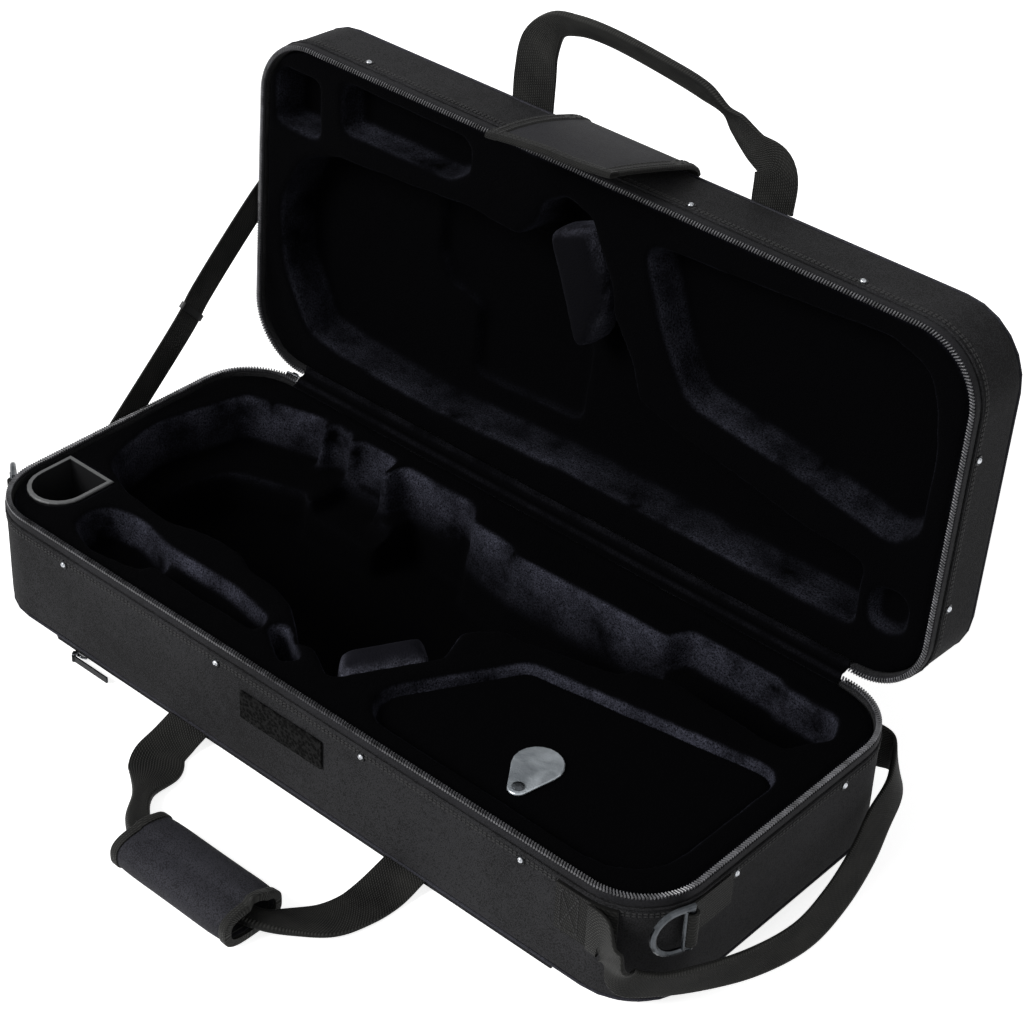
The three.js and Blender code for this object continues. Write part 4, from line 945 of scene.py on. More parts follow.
@dataclass(frozen=True)
class Outline:
    """The rounded plan outline of the case, open at the back between the ends of the zipper."""

    reach: float = CASE.zipper_reach
    corner_steps: int = 24
    side_step: float = 6.0

    def corners(self) -> list[Vector]:
        """Centres of the four corner arcs, from the back left round the front."""
        x = CASE.length / 2 - CASE.corner
        low, high = CASE.corner, CASE.depth - CASE.corner
        return [Vector((*place, 0)) for place in ((-x, high), (-x, low), (x, low), (x, high))]

    def arcs(self) -> list[list[tuple[Vector, Vector]]]:
        """For each corner, its centre with the outward directions round it."""
        found = []
        steps = self.corner_steps
        for number, centre in enumerate(self.corners()):
            angles = [math.pi / 2 * (1 + number + k / steps) for k in range(steps + 1)]
            found.append([(centre, Vector((math.cos(a), math.sin(a), 0))) for a in angles])
        return found

    def stations(self) -> list[tuple[Vector, Vector]]:
        """Places on the line through the corners' centres with their outward directions, all round."""
        found: list[tuple[Vector, Vector]] = []
        corners = self.corners()
        for number, arc in enumerate(self.arcs()):
            found += arc
            centre, out = arc[-1]
            after = corners[(number + 1) % 4]
            count = int((after - centre).length / self.side_step)
            found += [(centre.lerp(after, k / count), out) for k in range(1, count)]
        return found

    def route(self, inset: float, step: float) -> list[tuple[Vector, Vector]]:
        """Evenly spaced places at an inset from the outline.

        Args:
            inset: Distance inwards from the outline.
            step: Spacing along the outline.

        Returns:
            Pairs of a place and the outward direction, both level.
        """
        radius = CASE.corner - inset
        back = CASE.depth - CASE.corner + radius
        pieces = [(Vector((-self.reach, back, 0)), Y_AXIS)]
        pieces += [(centre + out * radius, out) for arc in self.arcs() for centre, out in arc]
        pieces.append((Vector((self.reach, back, 0)), Y_AXIS))
        found = []
        travelled = 0.0
        due = step / 2
        for (a, na), (b, nb) in zip(pieces, pieces[1:]):
            length = (b - a).length
            while length and due <= travelled + length:
                share = (due - travelled) / length
                found.append((a.lerp(b, share), na.lerp(nb, share).normalized()))
                due += step
            travelled += length
        return found


def seed_capsule(
    size: Vector, sides: int = 6, inset: float = 0.16, rise: float = 0.12
) -> bpy.types.Mesh:
    """A small rounded bar, modelled once and copied along a seam.

    Args:
        size: Its length along x, width along y and height along z.
        sides: Sides of its section.
        inset: How far each end narrows, as a share of its width.
        rise: How far each end stands out, as a share of its length.

    Returns:
        The mesh of the bar, centred on the origin.
    """
    deselect()
    bpy.ops.mesh.primitive_cylinder_add(vertices=sides, radius=0.5, depth=1, rotation=(0, math.pi / 2, 0))
    piece = bpy.context.object
    bpy.ops.object.transform_apply(location=False, rotation=True, scale=False)
    bpy.ops.object.mode_set(mode="EDIT")
    bpy.ops.mesh.select_all(action="DESELECT")
    bpy.ops.object.mode_set(mode="OBJECT")
    for polygon in piece.data.polygons:
        polygon.select = abs(polygon.normal.x) > 0.9
    bpy.ops.object.mode_set(mode="EDIT")
    bpy.ops.mesh.select_mode(type="FACE")
    bpy.ops.mesh.inset(thickness=inset, depth=rise)
    bpy.ops.object.mode_set(mode="OBJECT")
    width = max(v.co.x for v in piece.data.vertices) * 2
    piece.data.transform(Matrix.Diagonal((size.x / width, size.y, size.z, 1)))
    mesh = piece.data
    bpy.data.objects.remove(piece)
    return mesh


def close_below(mesh: bpy.types.Mesh, level: float) -> None:
    """Closes a round mesh that was cut off at a level, with one face that is the same in every run."""
    work = bmesh.new()
    work.from_mesh(mesh)
    rim = [v for v in work.verts if abs(v.co.z - level) < 1e-5]
    work.faces.new(sorted(rim, key=lambda v: math.atan2(v.co.y, v.co.x), reverse=True))
    work.to_mesh(mesh)
    work.free()


def copies(name: str, seed: bpy.types.Mesh, matrices: Sequence[Matrix]) -> Piece:
    """Copies a small mesh to many places, as one piece.

    Args:
        name: Name of the piece.
        seed: The mesh to copy.
        matrices: Where each copy goes, in the part's frame.

    Returns:
        The piece.
    """
    work = bmesh.new()
    for matrix in matrices:
        single = seed.copy()
        single.transform(matrix)
        work.from_mesh(single)
        bpy.data.meshes.remove(single)
    mesh = bpy.data.meshes.new(name)
    work.to_mesh(mesh)
    work.free()
    return smooth(new_object(name, mesh), 60)


def frame_matrix(at: Vector, along: Vector, out: Vector) -> Matrix:
    """The matrix of a frame with x along a seam and z out of the surface."""
    x = along.normalized()
    z = (out - x * out.dot(x)).normalized()
    y = z.cross(x)
    turn = Matrix((x, y, z)).transposed().to_4x4()
    return Matrix.Translation(at) @ turn


@dataclass
class SeamStitches:
    """Rows of stitches: short bars of thread on a surface."""

    length: float = 2.6
    pitch: float = 3.6
    thickness: float = 0.9
    flatness: float = 1.4
    places: list[Matrix] = field(default_factory=list)

    def line(self, start: Vector, end: Vector, out: Vector, matrix: Matrix) -> None:
        """Adds a straight row.

        Args:
            start: Its first point.
            end: Its last point.
            out: Direction out of the surface.
            matrix: From the points' frame to the part's.
        """
        span = end - start
        count = max(1, int(span.length / self.pitch))
        for k in range(count):
            at = start + span * ((k + 0.5) / count)
            self.places.append(matrix @ frame_matrix(at, span, out))

    def follow(self, route: Sequence[tuple[Vector, Vector]], matrix: Matrix) -> None:
        """Adds a row at given places with their outward directions."""
        for number, (at, out) in enumerate(route):
            before = route[max(number - 1, 0)][0]
            after = route[min(number + 1, len(route) - 1)][0]
            self.places.append(matrix @ frame_matrix(at, after - before, out))

    def square(self, centre: Vector, across: Vector, up: Vector, out: Vector, matrix: Matrix) -> None:
        """Adds a square of stitches with its two diagonals.

        Args:
            centre: Centre of the square.
            across: From the centre to the middle of one side.
            up: From the centre to the middle of the next side.
            out: Direction out of the surface.
            matrix: From the points' frame to the part's.
        """
        corners = [centre - across - up, centre + across - up, centre + across + up, centre - across + up]
        for a, b in ((0, 1), (1, 2), (2, 3), (3, 0), (0, 2), (1, 3)):
            self.line(corners[a], corners[b], out, matrix)

    def build(self, name: str) -> Piece:
        """Makes the rows as one piece."""
        size = Vector((self.length, self.thickness * self.flatness, self.thickness))
        return copies(name, seed_capsule(size), self.places)


@dataclass
class Shell(Assembly):
    """One fabric-covered half with its seams and its side of the zipper."""

    half: Half
    tooth_pitch: float = 2.2
    tooth: Vector = field(default_factory=lambda: Vector((3.9, 1.15, 2.0)))
    slant: float = 24.0
    stitch_drops: tuple[float, float] = (13.8, 16.0)
    board: float = 5.0
    groove_depth: float = 1.4
    groove_half: float = 1.8
    groove_angle: float = 20.0
    # Pairs of a place across the groove and its depth there, as shares of half its width and its depth
    seam_form: tuple[Row, ...] = ((1, 0), (0.3, 0.8), (0, 1), (-0.3, 0.8), (-1, 0))
    bead_form: tuple[Row, ...] = ((-0.5, 0.7), (0, 1), (0.5, 0.7), (1, 0))
    bead_lead: float = 0.4
    arc_steps: int = 9
    wall_steps: int = 12
    inner_arc: tuple[int, ...] = (30, 60, 90)
    face_rings: Row = (0.9, 0.75, 0.5, 0.25, 0.1)
    slack_size: float = 0.07
    slack: float = 0.0007
    coil_inset: float = 2.3
    tape_height: float = 4.4
    tape_thickness: float = 1.0
    tape_step: float = 4.0
    # The tape's section, as pairs of inset from the outline and drop below the rim
    tape_section: tuple[Row, ...] = (
        (0.0, 7.5),
        (0.9, 7.5),
        (0.9, 3.5),
        (4.6, 3.2),
        (4.6, 2.5),
        (3.0, 2.1),
        (1.4, 2.1),
        (0.2, 2.6),
        (-0.1, 4.2),
        (0.1, 5.6),
    )
    stitch_inset: float = -0.2

    def profile(self) -> list[tuple[float, float]]:
        """The section of a shell, from the big face up the wall, over the rim and down inside.

        Returns:
            Points as inset from the outline and height over the big face.
        """
        edge = CASE.edge
        height = abs(CASE.rim(self.half) - CASE.face(self.half))

        def arc(radius: float, degrees: float) -> tuple[float, float]:
            angle = math.radians(degrees)
            return (edge - radius * math.cos(angle), edge - radius * math.sin(angle))

        spread = math.degrees(self.groove_half / edge)
        low, high = self.groove_angle + spread, self.groove_angle - spread
        bead = height - CASE.bead_drop
        rim = height - CASE.coil_height - CASE.seat
        step = rim - self.tape_height
        board, steps, under_tape = self.board, self.wall_steps, self.tape_thickness + CASE.seat
        points = [arc(edge, 90 - k * (90 - low) / self.arc_steps) for k in range(self.arc_steps)]
        for side, share in self.seam_form:
            points.append(arc(edge - self.groove_depth * share, self.groove_angle + spread * side))
        points += [arc(edge, high / 2), (0.0, edge)]
        wall = bead - self.groove_half - edge
        points += [(0.0, edge + wall * k / steps) for k in range(1, steps)]
        points += [(0.0, bead - self.groove_half - self.bead_lead)]
        for side, share in self.bead_form:
            points.append((self.groove_depth * share, bead + self.groove_half * side))
        points += [(0.0, step), (under_tape, step), (under_tape, rim), (board, rim), (board, edge)]
        return points + [arc(edge - board, degrees) for degrees in self.inner_arc]

    def cover(self) -> None:
        """The fabric-covered board of the half, with rounded corners and slightly slack cloth."""
        name = self.half.value
        stations = Outline().stations()
        sign = CASE.to_rim(self.half)
        rings = []
        for inset, height in self.profile():
            level = Vector((0, 0, CASE.face(self.half) + sign * height))
            rings.append([centre + out * (CASE.corner - inset) + level for centre, out in stations])
        ends = CASE.length / 2 - CASE.depth / 2

        def inwards(ring: list[Vector], share: float) -> list[Vector]:
            found = []
            for point in ring:
                middle = Vector((max(-ends, min(ends, point.x)), CASE.depth / 2, point.z))
                found.append(point.lerp(middle, share))
            return found

        rings = [inwards(rings[0], share) for share in self.face_rings] + rings
        piece = outwards(ringed(f"{name}_cover", rings, to_part(self.half)))
        uneven(piece, f"{name}_slack", self.slack_size, self.slack)
        self.shop.place(smooth(piece, 38), FABRIC, name, "shell_fabric", [f"{name}_shell"])

    def coil(self) -> None:
        """The coil on this side of the zipper, a slanted bar for each turn."""
        matrix = to_part(self.half)
        seed = seed_capsule(self.tooth, 8)
        level = CASE.below_rim(self.half, CASE.coil_height / 2)
        turns = []
        for at, out in Outline().route(self.coil_inset, self.tooth_pitch):
            slanted = Matrix.Rotation(math.radians(self.slant), 3, "Z") @ out
            place = Vector((at.x, at.y, level))
            turns.append(matrix @ frame_matrix(place, slanted, Vector((0, 0, CASE.to_rim(self.half)))))
        piece = copies(f"{self.half.value}_zipper_coil", seed, turns)
        self.shop.place(piece, COIL, self.half.value, "zipper_tape")

    def tape(self) -> None:
        """The woven tape under the coil, with a ridge where the coil is sewn on."""
        name = self.half.value
        tip, sign = CASE.rim(self.half), CASE.to_rim(self.half)
        rings = []
        for at, out in Outline().route(0.0, self.tape_step):
            section = ((at - out * inset, tip - sign * drop) for inset, drop in self.tape_section)
            rings.append([place + Z_AXIS * level for place, level in section])
        piece = outwards(ringed(f"{name}_tape", rings, to_part(self.half)))
        self.shop.place(smooth(piece, 45), TAPE, name, "zipper_tape", [f"{name}_zipper_tape"])

    def stitches(self) -> None:
        """The two rows of stitches that run round the wall below the seam bead."""
        name = self.half.value
        row = SeamStitches()
        for drop in self.stitch_drops:
            level = Vector((0, 0, CASE.below_rim(self.half, drop)))
            route = [(at + level, out) for at, out in Outline().route(self.stitch_inset, row.pitch)]
            row.follow(route, to_part(self.half))
        self.shop.place(row.build(f"{name}_wall_stitches"), THREAD, name, "shell_fabric")

    def build(self) -> None:
        """Dresses the half."""
        name = self.half.value
        self.cover()
        self.shop.paint(FABRIC, f"{name}_seam_bead")
        self.shop.paint(WELT, f"{name}_edge_piping")
        self.coil()
        self.tape()
        self.stitches()
        if self.half is Half.BASE:
            self.shop.paint(POCKET_FABRIC, "pocket_panel")
            self.shop.paint(TAPE, "pocket_zipper_tape")


@dataclass
class Liners(Assembly):
    """Moulded plush linings, bolsters and the accessory panel."""

    voxel: float = 3.0
    bolster_voxel: float = 4.0
    rounding: int = 5
    foam_size: float = 0.03
    foam: float = 0.0012
    panel_voxel: float = 1.8
    panel_rounding: int = 3
    swell: float = 6.0
    pressure: float = 4.0
    frames: int = 12
    # A pad starts smaller than the solid that it stands for and swells up to it
    shrink: float = 0.94
    pad_rounding: int = 4

    def soften(self, piece: Piece, voxel: float, rounds: int) -> Piece:
        """Gives a hard copy the rounding of foam under pile.

        Args:
            piece: The copy.
            voxel: Size of its new faces in millimetres.
            rounds: Rounds of smoothing.

        Returns:
            The piece.
        """
        apply(piece, "REMESH", mode="VOXEL", voxel_size=voxel * MM)
        apply(piece, "SMOOTH", factor=0.5, iterations=rounds)
        uneven(piece, piece.name + "_foam", self.foam_size, self.foam)
        return round_off(piece)

    def swollen(self, piece: Piece) -> Piece:
        """Blows a pad up with a short cloth simulation, capped at a few millimetres.

        Args:
            piece: The pad.

        Returns:
            The pad, with nothing live on it.
        """
        rest = [v.co.copy() for v in piece.data.vertices]
        activate(piece)
        cloth = piece.modifiers.new("Cloth", "CLOTH")
        cloth.settings.use_pressure = True
        cloth.settings.uniform_pressure_force = self.pressure
        cloth.settings.effector_weights.gravity = 0.0
        cloth.point_cache.frame_end = self.frames
        scene = bpy.context.scene
        for number in range(1, self.frames + 1):
            scene.frame_set(number)
        bpy.ops.object.modifier_apply(modifier=cloth.name)
        scene.frame_set(1)
        cap = self.swell * MM
        for vertex, before in zip(piece.data.vertices, rest):
            move = vertex.co - before
            if move.length > cap:
                vertex.co = before + move.normalized() * cap
        return piece

    def pad(self, node: str, body: str, finish: Finish) -> None:
        """A bolster: a stuffed block with a crowned top.

        Args:
            node: The CAD node it stands for.
            body: The body it rides on.
            finish: Its plush.
        """
        piece = node_copy(f"{node}_pad", self.shop.nodes[node])
        centre = sum((v.co for v in piece.data.vertices), Vector()) / len(piece.data.vertices)
        shrink = Matrix.Translation(centre) @ Matrix.Scale(self.shrink, 4) @ Matrix.Translation(-centre)
        piece.data.transform(shrink)
        apply(piece, "REMESH", mode="VOXEL", voxel_size=self.bolster_voxel * MM)
        self.swollen(piece)
        apply(piece, "SMOOTH", factor=0.5, iterations=self.pad_rounding)
        apply(piece, "SUBSURF", levels=1, render_levels=1)
        round_off(piece)
        self.shop.place(piece, finish, body, "plush", [node])

    def build(self) -> None:
        """Makes the linings of both halves."""
        for node, body, finish in (("base_liner", "base", BASE_PLUSH), ("lid_liner", "lid", LID_PLUSH)):
            piece = node_copy(f"{node}_plush", self.shop.nodes[node])
            self.soften(piece, self.voxel, self.rounding)
            self.shop.place(piece, finish, body, "plush", [node])
        panel = node_copy("accessory_lid_plush", self.shop.nodes["accessory_panel"])
        self.soften(panel, self.panel_voxel, self.panel_rounding)
        self.shop.place(panel, BASE_PLUSH, "panel", "plush", ["accessory_panel"])
        self.pad("base_bolster", "base", BASE_BOLSTER_PLUSH)
        self.pad("lid_bolster", "lid", LID_BOLSTER_PLUSH)


@dataclass(frozen=True)
class Loop:
    """A handle sewn in at the front seam of a half, in millimetres.

    Each row gives shares of span, reach and rise, the direction across, and shares of the webbing's
    width and thickness.
    """

    half: Half
    left: float
    span: float
    reach: float
    rise: float
    steps: int
    rows: tuple[Row, ...]

    def stations(self) -> list[Station]:
        """The stations of the webbing, with the case closed."""
        seam = CASE.seam(self.half)
        found = []
        for share, out, up, *across, width, thick in self.rows:
            place = Vector((self.left + share * self.span, seam.y - out * self.reach, seam.z))
            place.z += up * self.rise
            found.append(web_station(place, across, width, thick))
        return found


BASE_ROWS = (
    (0.02, -0.012, 0, 1, 0, 0, 1, 1),
    (0.024, 0.12, -0.2, 1, 0, 0, 1, 1),
    (0.045, 0.26, -0.23, 1, 0.08, 0, 1, 1),
    (0.1, 0.38, -0.2, 0.92, 0.38, 0, 0.97, 1.2),
    (0.165, 0.57, -0.08, 0.6, 0.8, 0, 0.4, 2.6),
    (0.25, 0.74, 0.02, 0.3, 0.95, 0, 0.45, 3.2),
    (0.34, 0.83, 0.06, 0.1, 1, 0, 0.45, 3.5),
    (0.6, 0.845, 0.067, 0, 1, 0, 0.45, 3.6),
    (0.79, 0.845, 0.067, -0.05, 1, 0, 0.43, 3.4),
    (0.86, 0.805, 0.06, -0.25, 1, 0, 0.43, 3.2),
    (0.92, 0.68, -0.06, -0.7, 0.75, 0, 0.62, 2.2),
    (0.975, 0.53, -0.17, -0.9, 0.45, 0, 0.8, 1.6),
    (1, 0.36, -0.2, -0.95, 0.3, 0, 0.86, 1.4),
    (1, 0.18, -0.22, -1, 0, 0, 0.95, 1),
    (1, -0.012, 0, -1, 0, 0, 0.95, 1),
)
LID_ROWS = (
    (0.02, -0.02, 0, 1, 0, 0, 1, 1),
    (0.02, 0.28, 0, 1, -0.04, 0, 1, 1),
    (0.03, 0.6, 0, 0.9, 0.35, 0, 0.9, 1.4),
    (0.09, 0.88, 0, 0.4, 1, 0.1, 0.55, 2.4),
    (0.18, 0.965, 0, 0.05, 1, 0.1, 0.4, 2.9),
    (0.3, 0.985, 0, 0, 1, 0.1, 0.36, 3),
    (0.53, 0.92, 0, -0.08, 1, 0, 0.35, 3),
    (0.7, 0.835, 0, -0.15, 1, 0, 0.34, 3),
    (0.785, 0.735, 0, -0.3, 1, 0.1, 0.2, 2.2),
    (0.83, 0.66, 0, -0.5, 0.9, 0.15, 0.46, 1.8),
    (0.91, 0.5, 0, -0.75, 0.65, 0.2, 0.72, 1.3),
    (0.99, 0.38, 0, -0.95, 0.3, 0, 0.9, 1),
    (1, -0.02, 0, -1, 0, 0, 0.9, 1),
)
# Rows of the handle round the right end: out from the corner's start, back along the end, and up
END_ROWS = (
    (-0.2, 0, 0, 0, 0, 1, 1, 1),
    (0, -0.006, 0, 0, 0, 1, 1, 1.1),
    (0.15, -0.034, -0.18, -0.3, 0, 0.95, 0.9, 1.3),
    (0.3, -0.03, -0.5, -0.3, -0.2, 0.95, 0.62, 2),
    (0.5, 0.03, -0.66, 0, 0, 1, 0.5, 2.3),
    (0.7, 0.11, -0.7, -0.15, 0, 1, 0.5, 2.3),
    (0.93, 0.25, -0.77, -0.45, 0, 0.85, 0.5, 2.3),
    (1.04, 0.4, -0.8, -0.65, 0, 0.7, 0.5, 2.3),
    (0.99, 0.545, -0.76, -0.75, -0.2, 0.6, 0.5, 2.3),
    (0.85, 0.7, -0.68, -0.75, -0.3, 0.55, 0.5, 2.3),
    (0.69, 0.82, -0.6, -0.7, -0.3, 0.6, 0.5, 2.2),
    (0.52, 0.95, -0.53, -0.4, -0.2, 0.85, 0.52, 2.1),
    (0.25, 1.028, -0.46, -0.1, 0, 1, 0.8, 1.4),
    (0, 1.008, -0.434, 0, 0, 1, 1, 1.1),
    (-0.2, 1, -0.434, 0, 0, 1, 1, 1),
)


@dataclass
class Handles(Assembly):
    """Webbing handles, the padded wrap, the sewn patches and the stay strap."""

    base_loop: Loop = Loop(Half.BASE, -101.5, 215.0, 120.0, 27.0, 150, BASE_ROWS)
    lid_loop: Loop = Loop(Half.LID, -105.0, 216.0, 72.0, 38.0, 130, LID_ROWS)
    end_start: float = 286.0
    end_reach: float = 67.0
    end_level: float = 69.0
    end_rise: float = 38.0
    end_steps: int = 170
    patch_thickness: float = 2.2
    wrap_left: float = -30.0
    wrap_length: float = 111.0
    wrap_near: float = 78.0
    wrap_width: float = 50.0
    wrap_height: float = 27.0
    wrap_wall: float = 4.0
    wrap_binding: float = 7.0
    wrap_girth: float = 132.0
    wrap_around: int = 96
    wrap_steps: int = 40
    # The cloth's edge laps over itself between these shares of the way round, loose towards one end
    lap_turns: tuple[float, float] = (0.17, 0.25)
    lap: float = 1.3
    loose_lap: float = 3.2
    loose_from: float = 0.72
    loose_lift: float = 1.1
    waist: float = 0.4
    squareness: float = 0.7
    end_tuck: float = 1.5
    # The binding's section, as pairs of a place along it and how far it stands off
    binding_start: tuple[Row, ...] = ((0.0, -1.0), (0.5, -0.4), (1.4, -0.1))
    binding_end: tuple[Row, ...] = ((-1.0, 0.1), (-0.3, 0.0), (0.0, -0.9))
    stay_ends: tuple[Row, Row] = ((0, 108, 61.7), (0, 322, 258))
    stay_steps: int = 90
    stay_width: float = 25.0
    stay_thickness: float = 1.8
    stay_anchor: float = 1.2
    # Folded with the lid closed, the upper half lies outside the lower one by shares of this lap
    stay_lap: float = 2.1
    stay_laps: tuple[Row, ...] = ((0, 0), (0.48, 0), (0.54, 1), (0.85, 1), (0.93, 0), (1, 0))
    stay_bend: tuple[float, float] = (0.03, 0.97)
    stay_patch: float = 22.0
    sewn_length: float = 2.0
    stay_pitch: float = 2.8
    stay_margin: float = 2.5
    patch_pitch: float = 3.0
    patch_margin: tuple[float, float] = (3.0, 3.5)
    patch_shift: float = 1.0
    on_cloth: float = 0.1
    binding_wall: float = 0.6
    slide_width: float = 28.0
    slide_thickness: float = 4.6
    slide_half: float = 2.6

    def end_stations(self) -> list[Station]:
        """Stations of the handle round the right end."""
        stand_off = 2 * CASE.seat + self.patch_thickness + CASE.web_thickness / 2
        found = []
        for out, back, up, *across, width, thick in END_ROWS:
            away = (back * 2 - 1) * stand_off if out <= 0 else 0.0
            place = Vector((self.end_start + out * self.end_reach, back * CASE.depth + away, 0))
            place.z = self.end_level + up * self.end_rise
            found.append(web_station(place, across, width, thick))
        return found

    def roll(self, name: str, stations: Sequence[tuple[float, float]], wall: float) -> Piece:
        """A flattened tube of cloth round the webbing, its long edge lapping over itself.

        Args:
            name: Name of the piece.
            stations: Pairs of a place along the wrap and how far the cloth stands off its plain size.
            wall: Thickness of the cloth.

        Returns:
            The piece, with UV in metres along and around.
        """
        middle = Vector((0, -(self.wrap_near + self.wrap_width / 2), CASE.seat + self.wrap_height / 2))
        around = self.wrap_around
        start, stop = self.lap_turns

        def squared(value: float) -> float:
            return math.copysign(abs(value) ** self.squareness, value)

        points: list[Vector] = []
        for along, grow in stations:
            share = along / self.wrap_length
            loose = max(0.0, share - self.loose_from) / (1 - self.loose_from)
            waist = self.waist * math.sin(math.pi * share)
            for side in (0, 1):
                for i in range(around):
                    turn = i / around
                    angle = 2 * math.pi * turn
                    lap = 0.0
                    if start < turn <= stop:
                        lap = self.lap + self.loose_lap * loose**2
                        lap *= 1 - (stop - turn) / (stop - start)
                    size = lap + grow - (wall if side else waist)
                    y = squared(math.cos(angle)) * (self.wrap_width / 2 + size)
                    z = squared(math.sin(angle)) * (self.wrap_height / 2 + size)
                    z += self.loose_lift * loose if math.sin(angle) > 0 else 0.0
                    points.append(middle + Vector((self.wrap_left + along, y, z)))
        row = 2 * around
        faces, marks = between(len(stations), around, row)
        inner_faces, inner_marks = between(len(stations), around, row, around)
        faces += inner_faces
        marks += inner_marks
        for k in (0, len(stations) - 1):
            for i in range(around):
                j = (i + 1) % around
                faces.append([k * row + i, k * row + j, k * row + around + j, k * row + around + i])
                marks.append(((i, k), (i + 1, k), (i + 1, k), (i, k)))

        def corner_uv(face: int, corner: int) -> tuple[float, float]:
            place, k = marks[face][corner]
            return (stations[k][0] * MM, place / around * self.wrap_girth * MM)

        matrix = to_part(Half.BASE)
        return outwards(mesh_piece(name, [matrix @ p for p in points], faces, corner_uv))

    def wrap(self) -> None:
        """The padded wrap and the webbing that binds its two ends."""
        length, binding = self.wrap_length, self.wrap_binding
        body = []
        for k in range(self.wrap_steps + 1):
            share = k / self.wrap_steps
            tuck = self.end_tuck * abs(2 * share - 1) ** 6
            body.append((binding * 0.5 + share * (length - binding), -tuck))
        piece = self.roll("handle_wrap_pad", body, self.wrap_wall)
        self.shop.place(smooth(piece, 60), WRAP_FABRIC, "base_handle", "wrap_fabric", ["handle_wrap"])
        bound = [*self.binding_start, *((binding + at, grow) for at, grow in self.binding_end)]
        for number, start in enumerate((0.0, length - binding)):
            stations = [(start + at, grow) for at, grow in bound]
            piece = self.roll(f"wrap_binding_{number + 1}", stations, self.wrap_wall + self.binding_wall)
            self.shop.place(smooth(piece, 50), WEBBING, "base_handle", "wrap_fabric")

    def build(self) -> None:
        """Makes the handles and the stay."""
        for body, loop in (("base_handle", self.base_loop), ("lid_handle", self.lid_loop)):
            strap = Strap(f"{body}_webbing", loop.stations(), loop.steps).build(to_part(loop.half))
            self.shop.place(strap, WEBBING, body, "webbing", [f"{body}_strap"])
        end = Strap("end_handle_webbing", self.end_stations(), self.end_steps).build(to_part(Half.BASE))
        self.shop.place(end, WEBBING, "end_handle", "webbing", ["end_handle_strap"])
        self.wrap()
        self.shop.paint(PATCH_WEBBING, "end_handle_front_patch", "end_handle_rear_patch")
        self.shop.paint(PATCH_WEBBING, "right_ring_keeper", "left_ring_keeper")
        self.shop.paint(PATCH_WEBBING, "stay_anchor_base", "stay_anchor_lid")
        self.sew_patches()
        self.stay()

    def stay(self) -> None:
        """The strap that stops the lid, between the two bodies and on neither."""
        low, high = (Vector(end) for end in self.stay_ends)
        x = -(CASE.length / 2 + 2 * CASE.seat + self.stay_anchor + self.stay_thickness / 2)
        way = (high - low).normalized()
        across = Vector((0, -way.z, way.y))
        stations = []
        for t, share in self.stay_laps:
            place = low.lerp(high, t) + Vector((x - self.stay_lap * share, 0, 0))
            stations.append(Station(place, across, self.stay_width, self.stay_thickness))
        matrix = to_part(Half.BASE)
        start, end = (tuple(matrix @ low.lerp(high, t)) for t in self.stay_bend)
        piece = Strap("stay_webbing", stations, self.stay_steps).build(matrix)
        self.shop.place(piece, WEBBING, "", "webbing", ["stay_strap"])
        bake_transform(piece)
        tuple(start)
        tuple(end)
        middle = low.lerp(high, 0.5) + Vector((x - self.stay_lap / 3, 0, 0))
        bar = []
        for t in (-self.slide_half, 0, self.slide_half):
            bar.append(Station(middle + way * t, across, self.slide_width, self.slide_thickness))
        slide = Strap("stay_slide", bar, 4).build(matrix)
        self.shop.place(slide, BLACK_PLASTIC, "", "webbing")
        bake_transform(slide)
        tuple(start)
        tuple(end)
        for node, at, turn in (("base", low, 1), ("lid", high, -1)):
            row = SeamStitches(self.sewn_length, self.stay_pitch)
            face = Vector((x - self.stay_thickness / 2 - self.on_cloth, 0, 0))
            centre = at + way * (turn * self.stay_patch / 2) + face
            half = self.stay_patch / 2 - self.stay_margin
            row.square(centre, across * half, way * half, -X_AXIS, matrix)
            self.shop.place(row.build(f"stay_stitches_{node}"), THREAD, node, "webbing")

    def sew_patches(self) -> None:
        """The square of stitches that holds each patch of the end handle."""
        row = SeamStitches(self.sewn_length, self.patch_pitch)
        for node, way in (("end_handle_front_patch", -1), ("end_handle_rear_patch", 1)):
            low, high = (Vector(corner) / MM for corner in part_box(node))
            face = low.y if way < 0 else high.y
            flat = CASE.length / 2 - CASE.corner - 2 * self.patch_shift
            centre = Vector(((low.x + flat) / 2 + self.patch_shift, face, (low.z + high.z) / 2))
            centre += Y_AXIS * way * self.on_cloth
            beside, above = self.patch_margin
            across = X_AXIS * ((flat - low.x) / 2 - beside)
            up = Z_AXIS * ((high.z - low.z) / 2 - above)
            row.square(centre, across, up, Y_AXIS * way, Matrix.Scale(MM, 4))
        self.shop.place(row.build("patch_stitches"), THREAD, "base", "webbing")


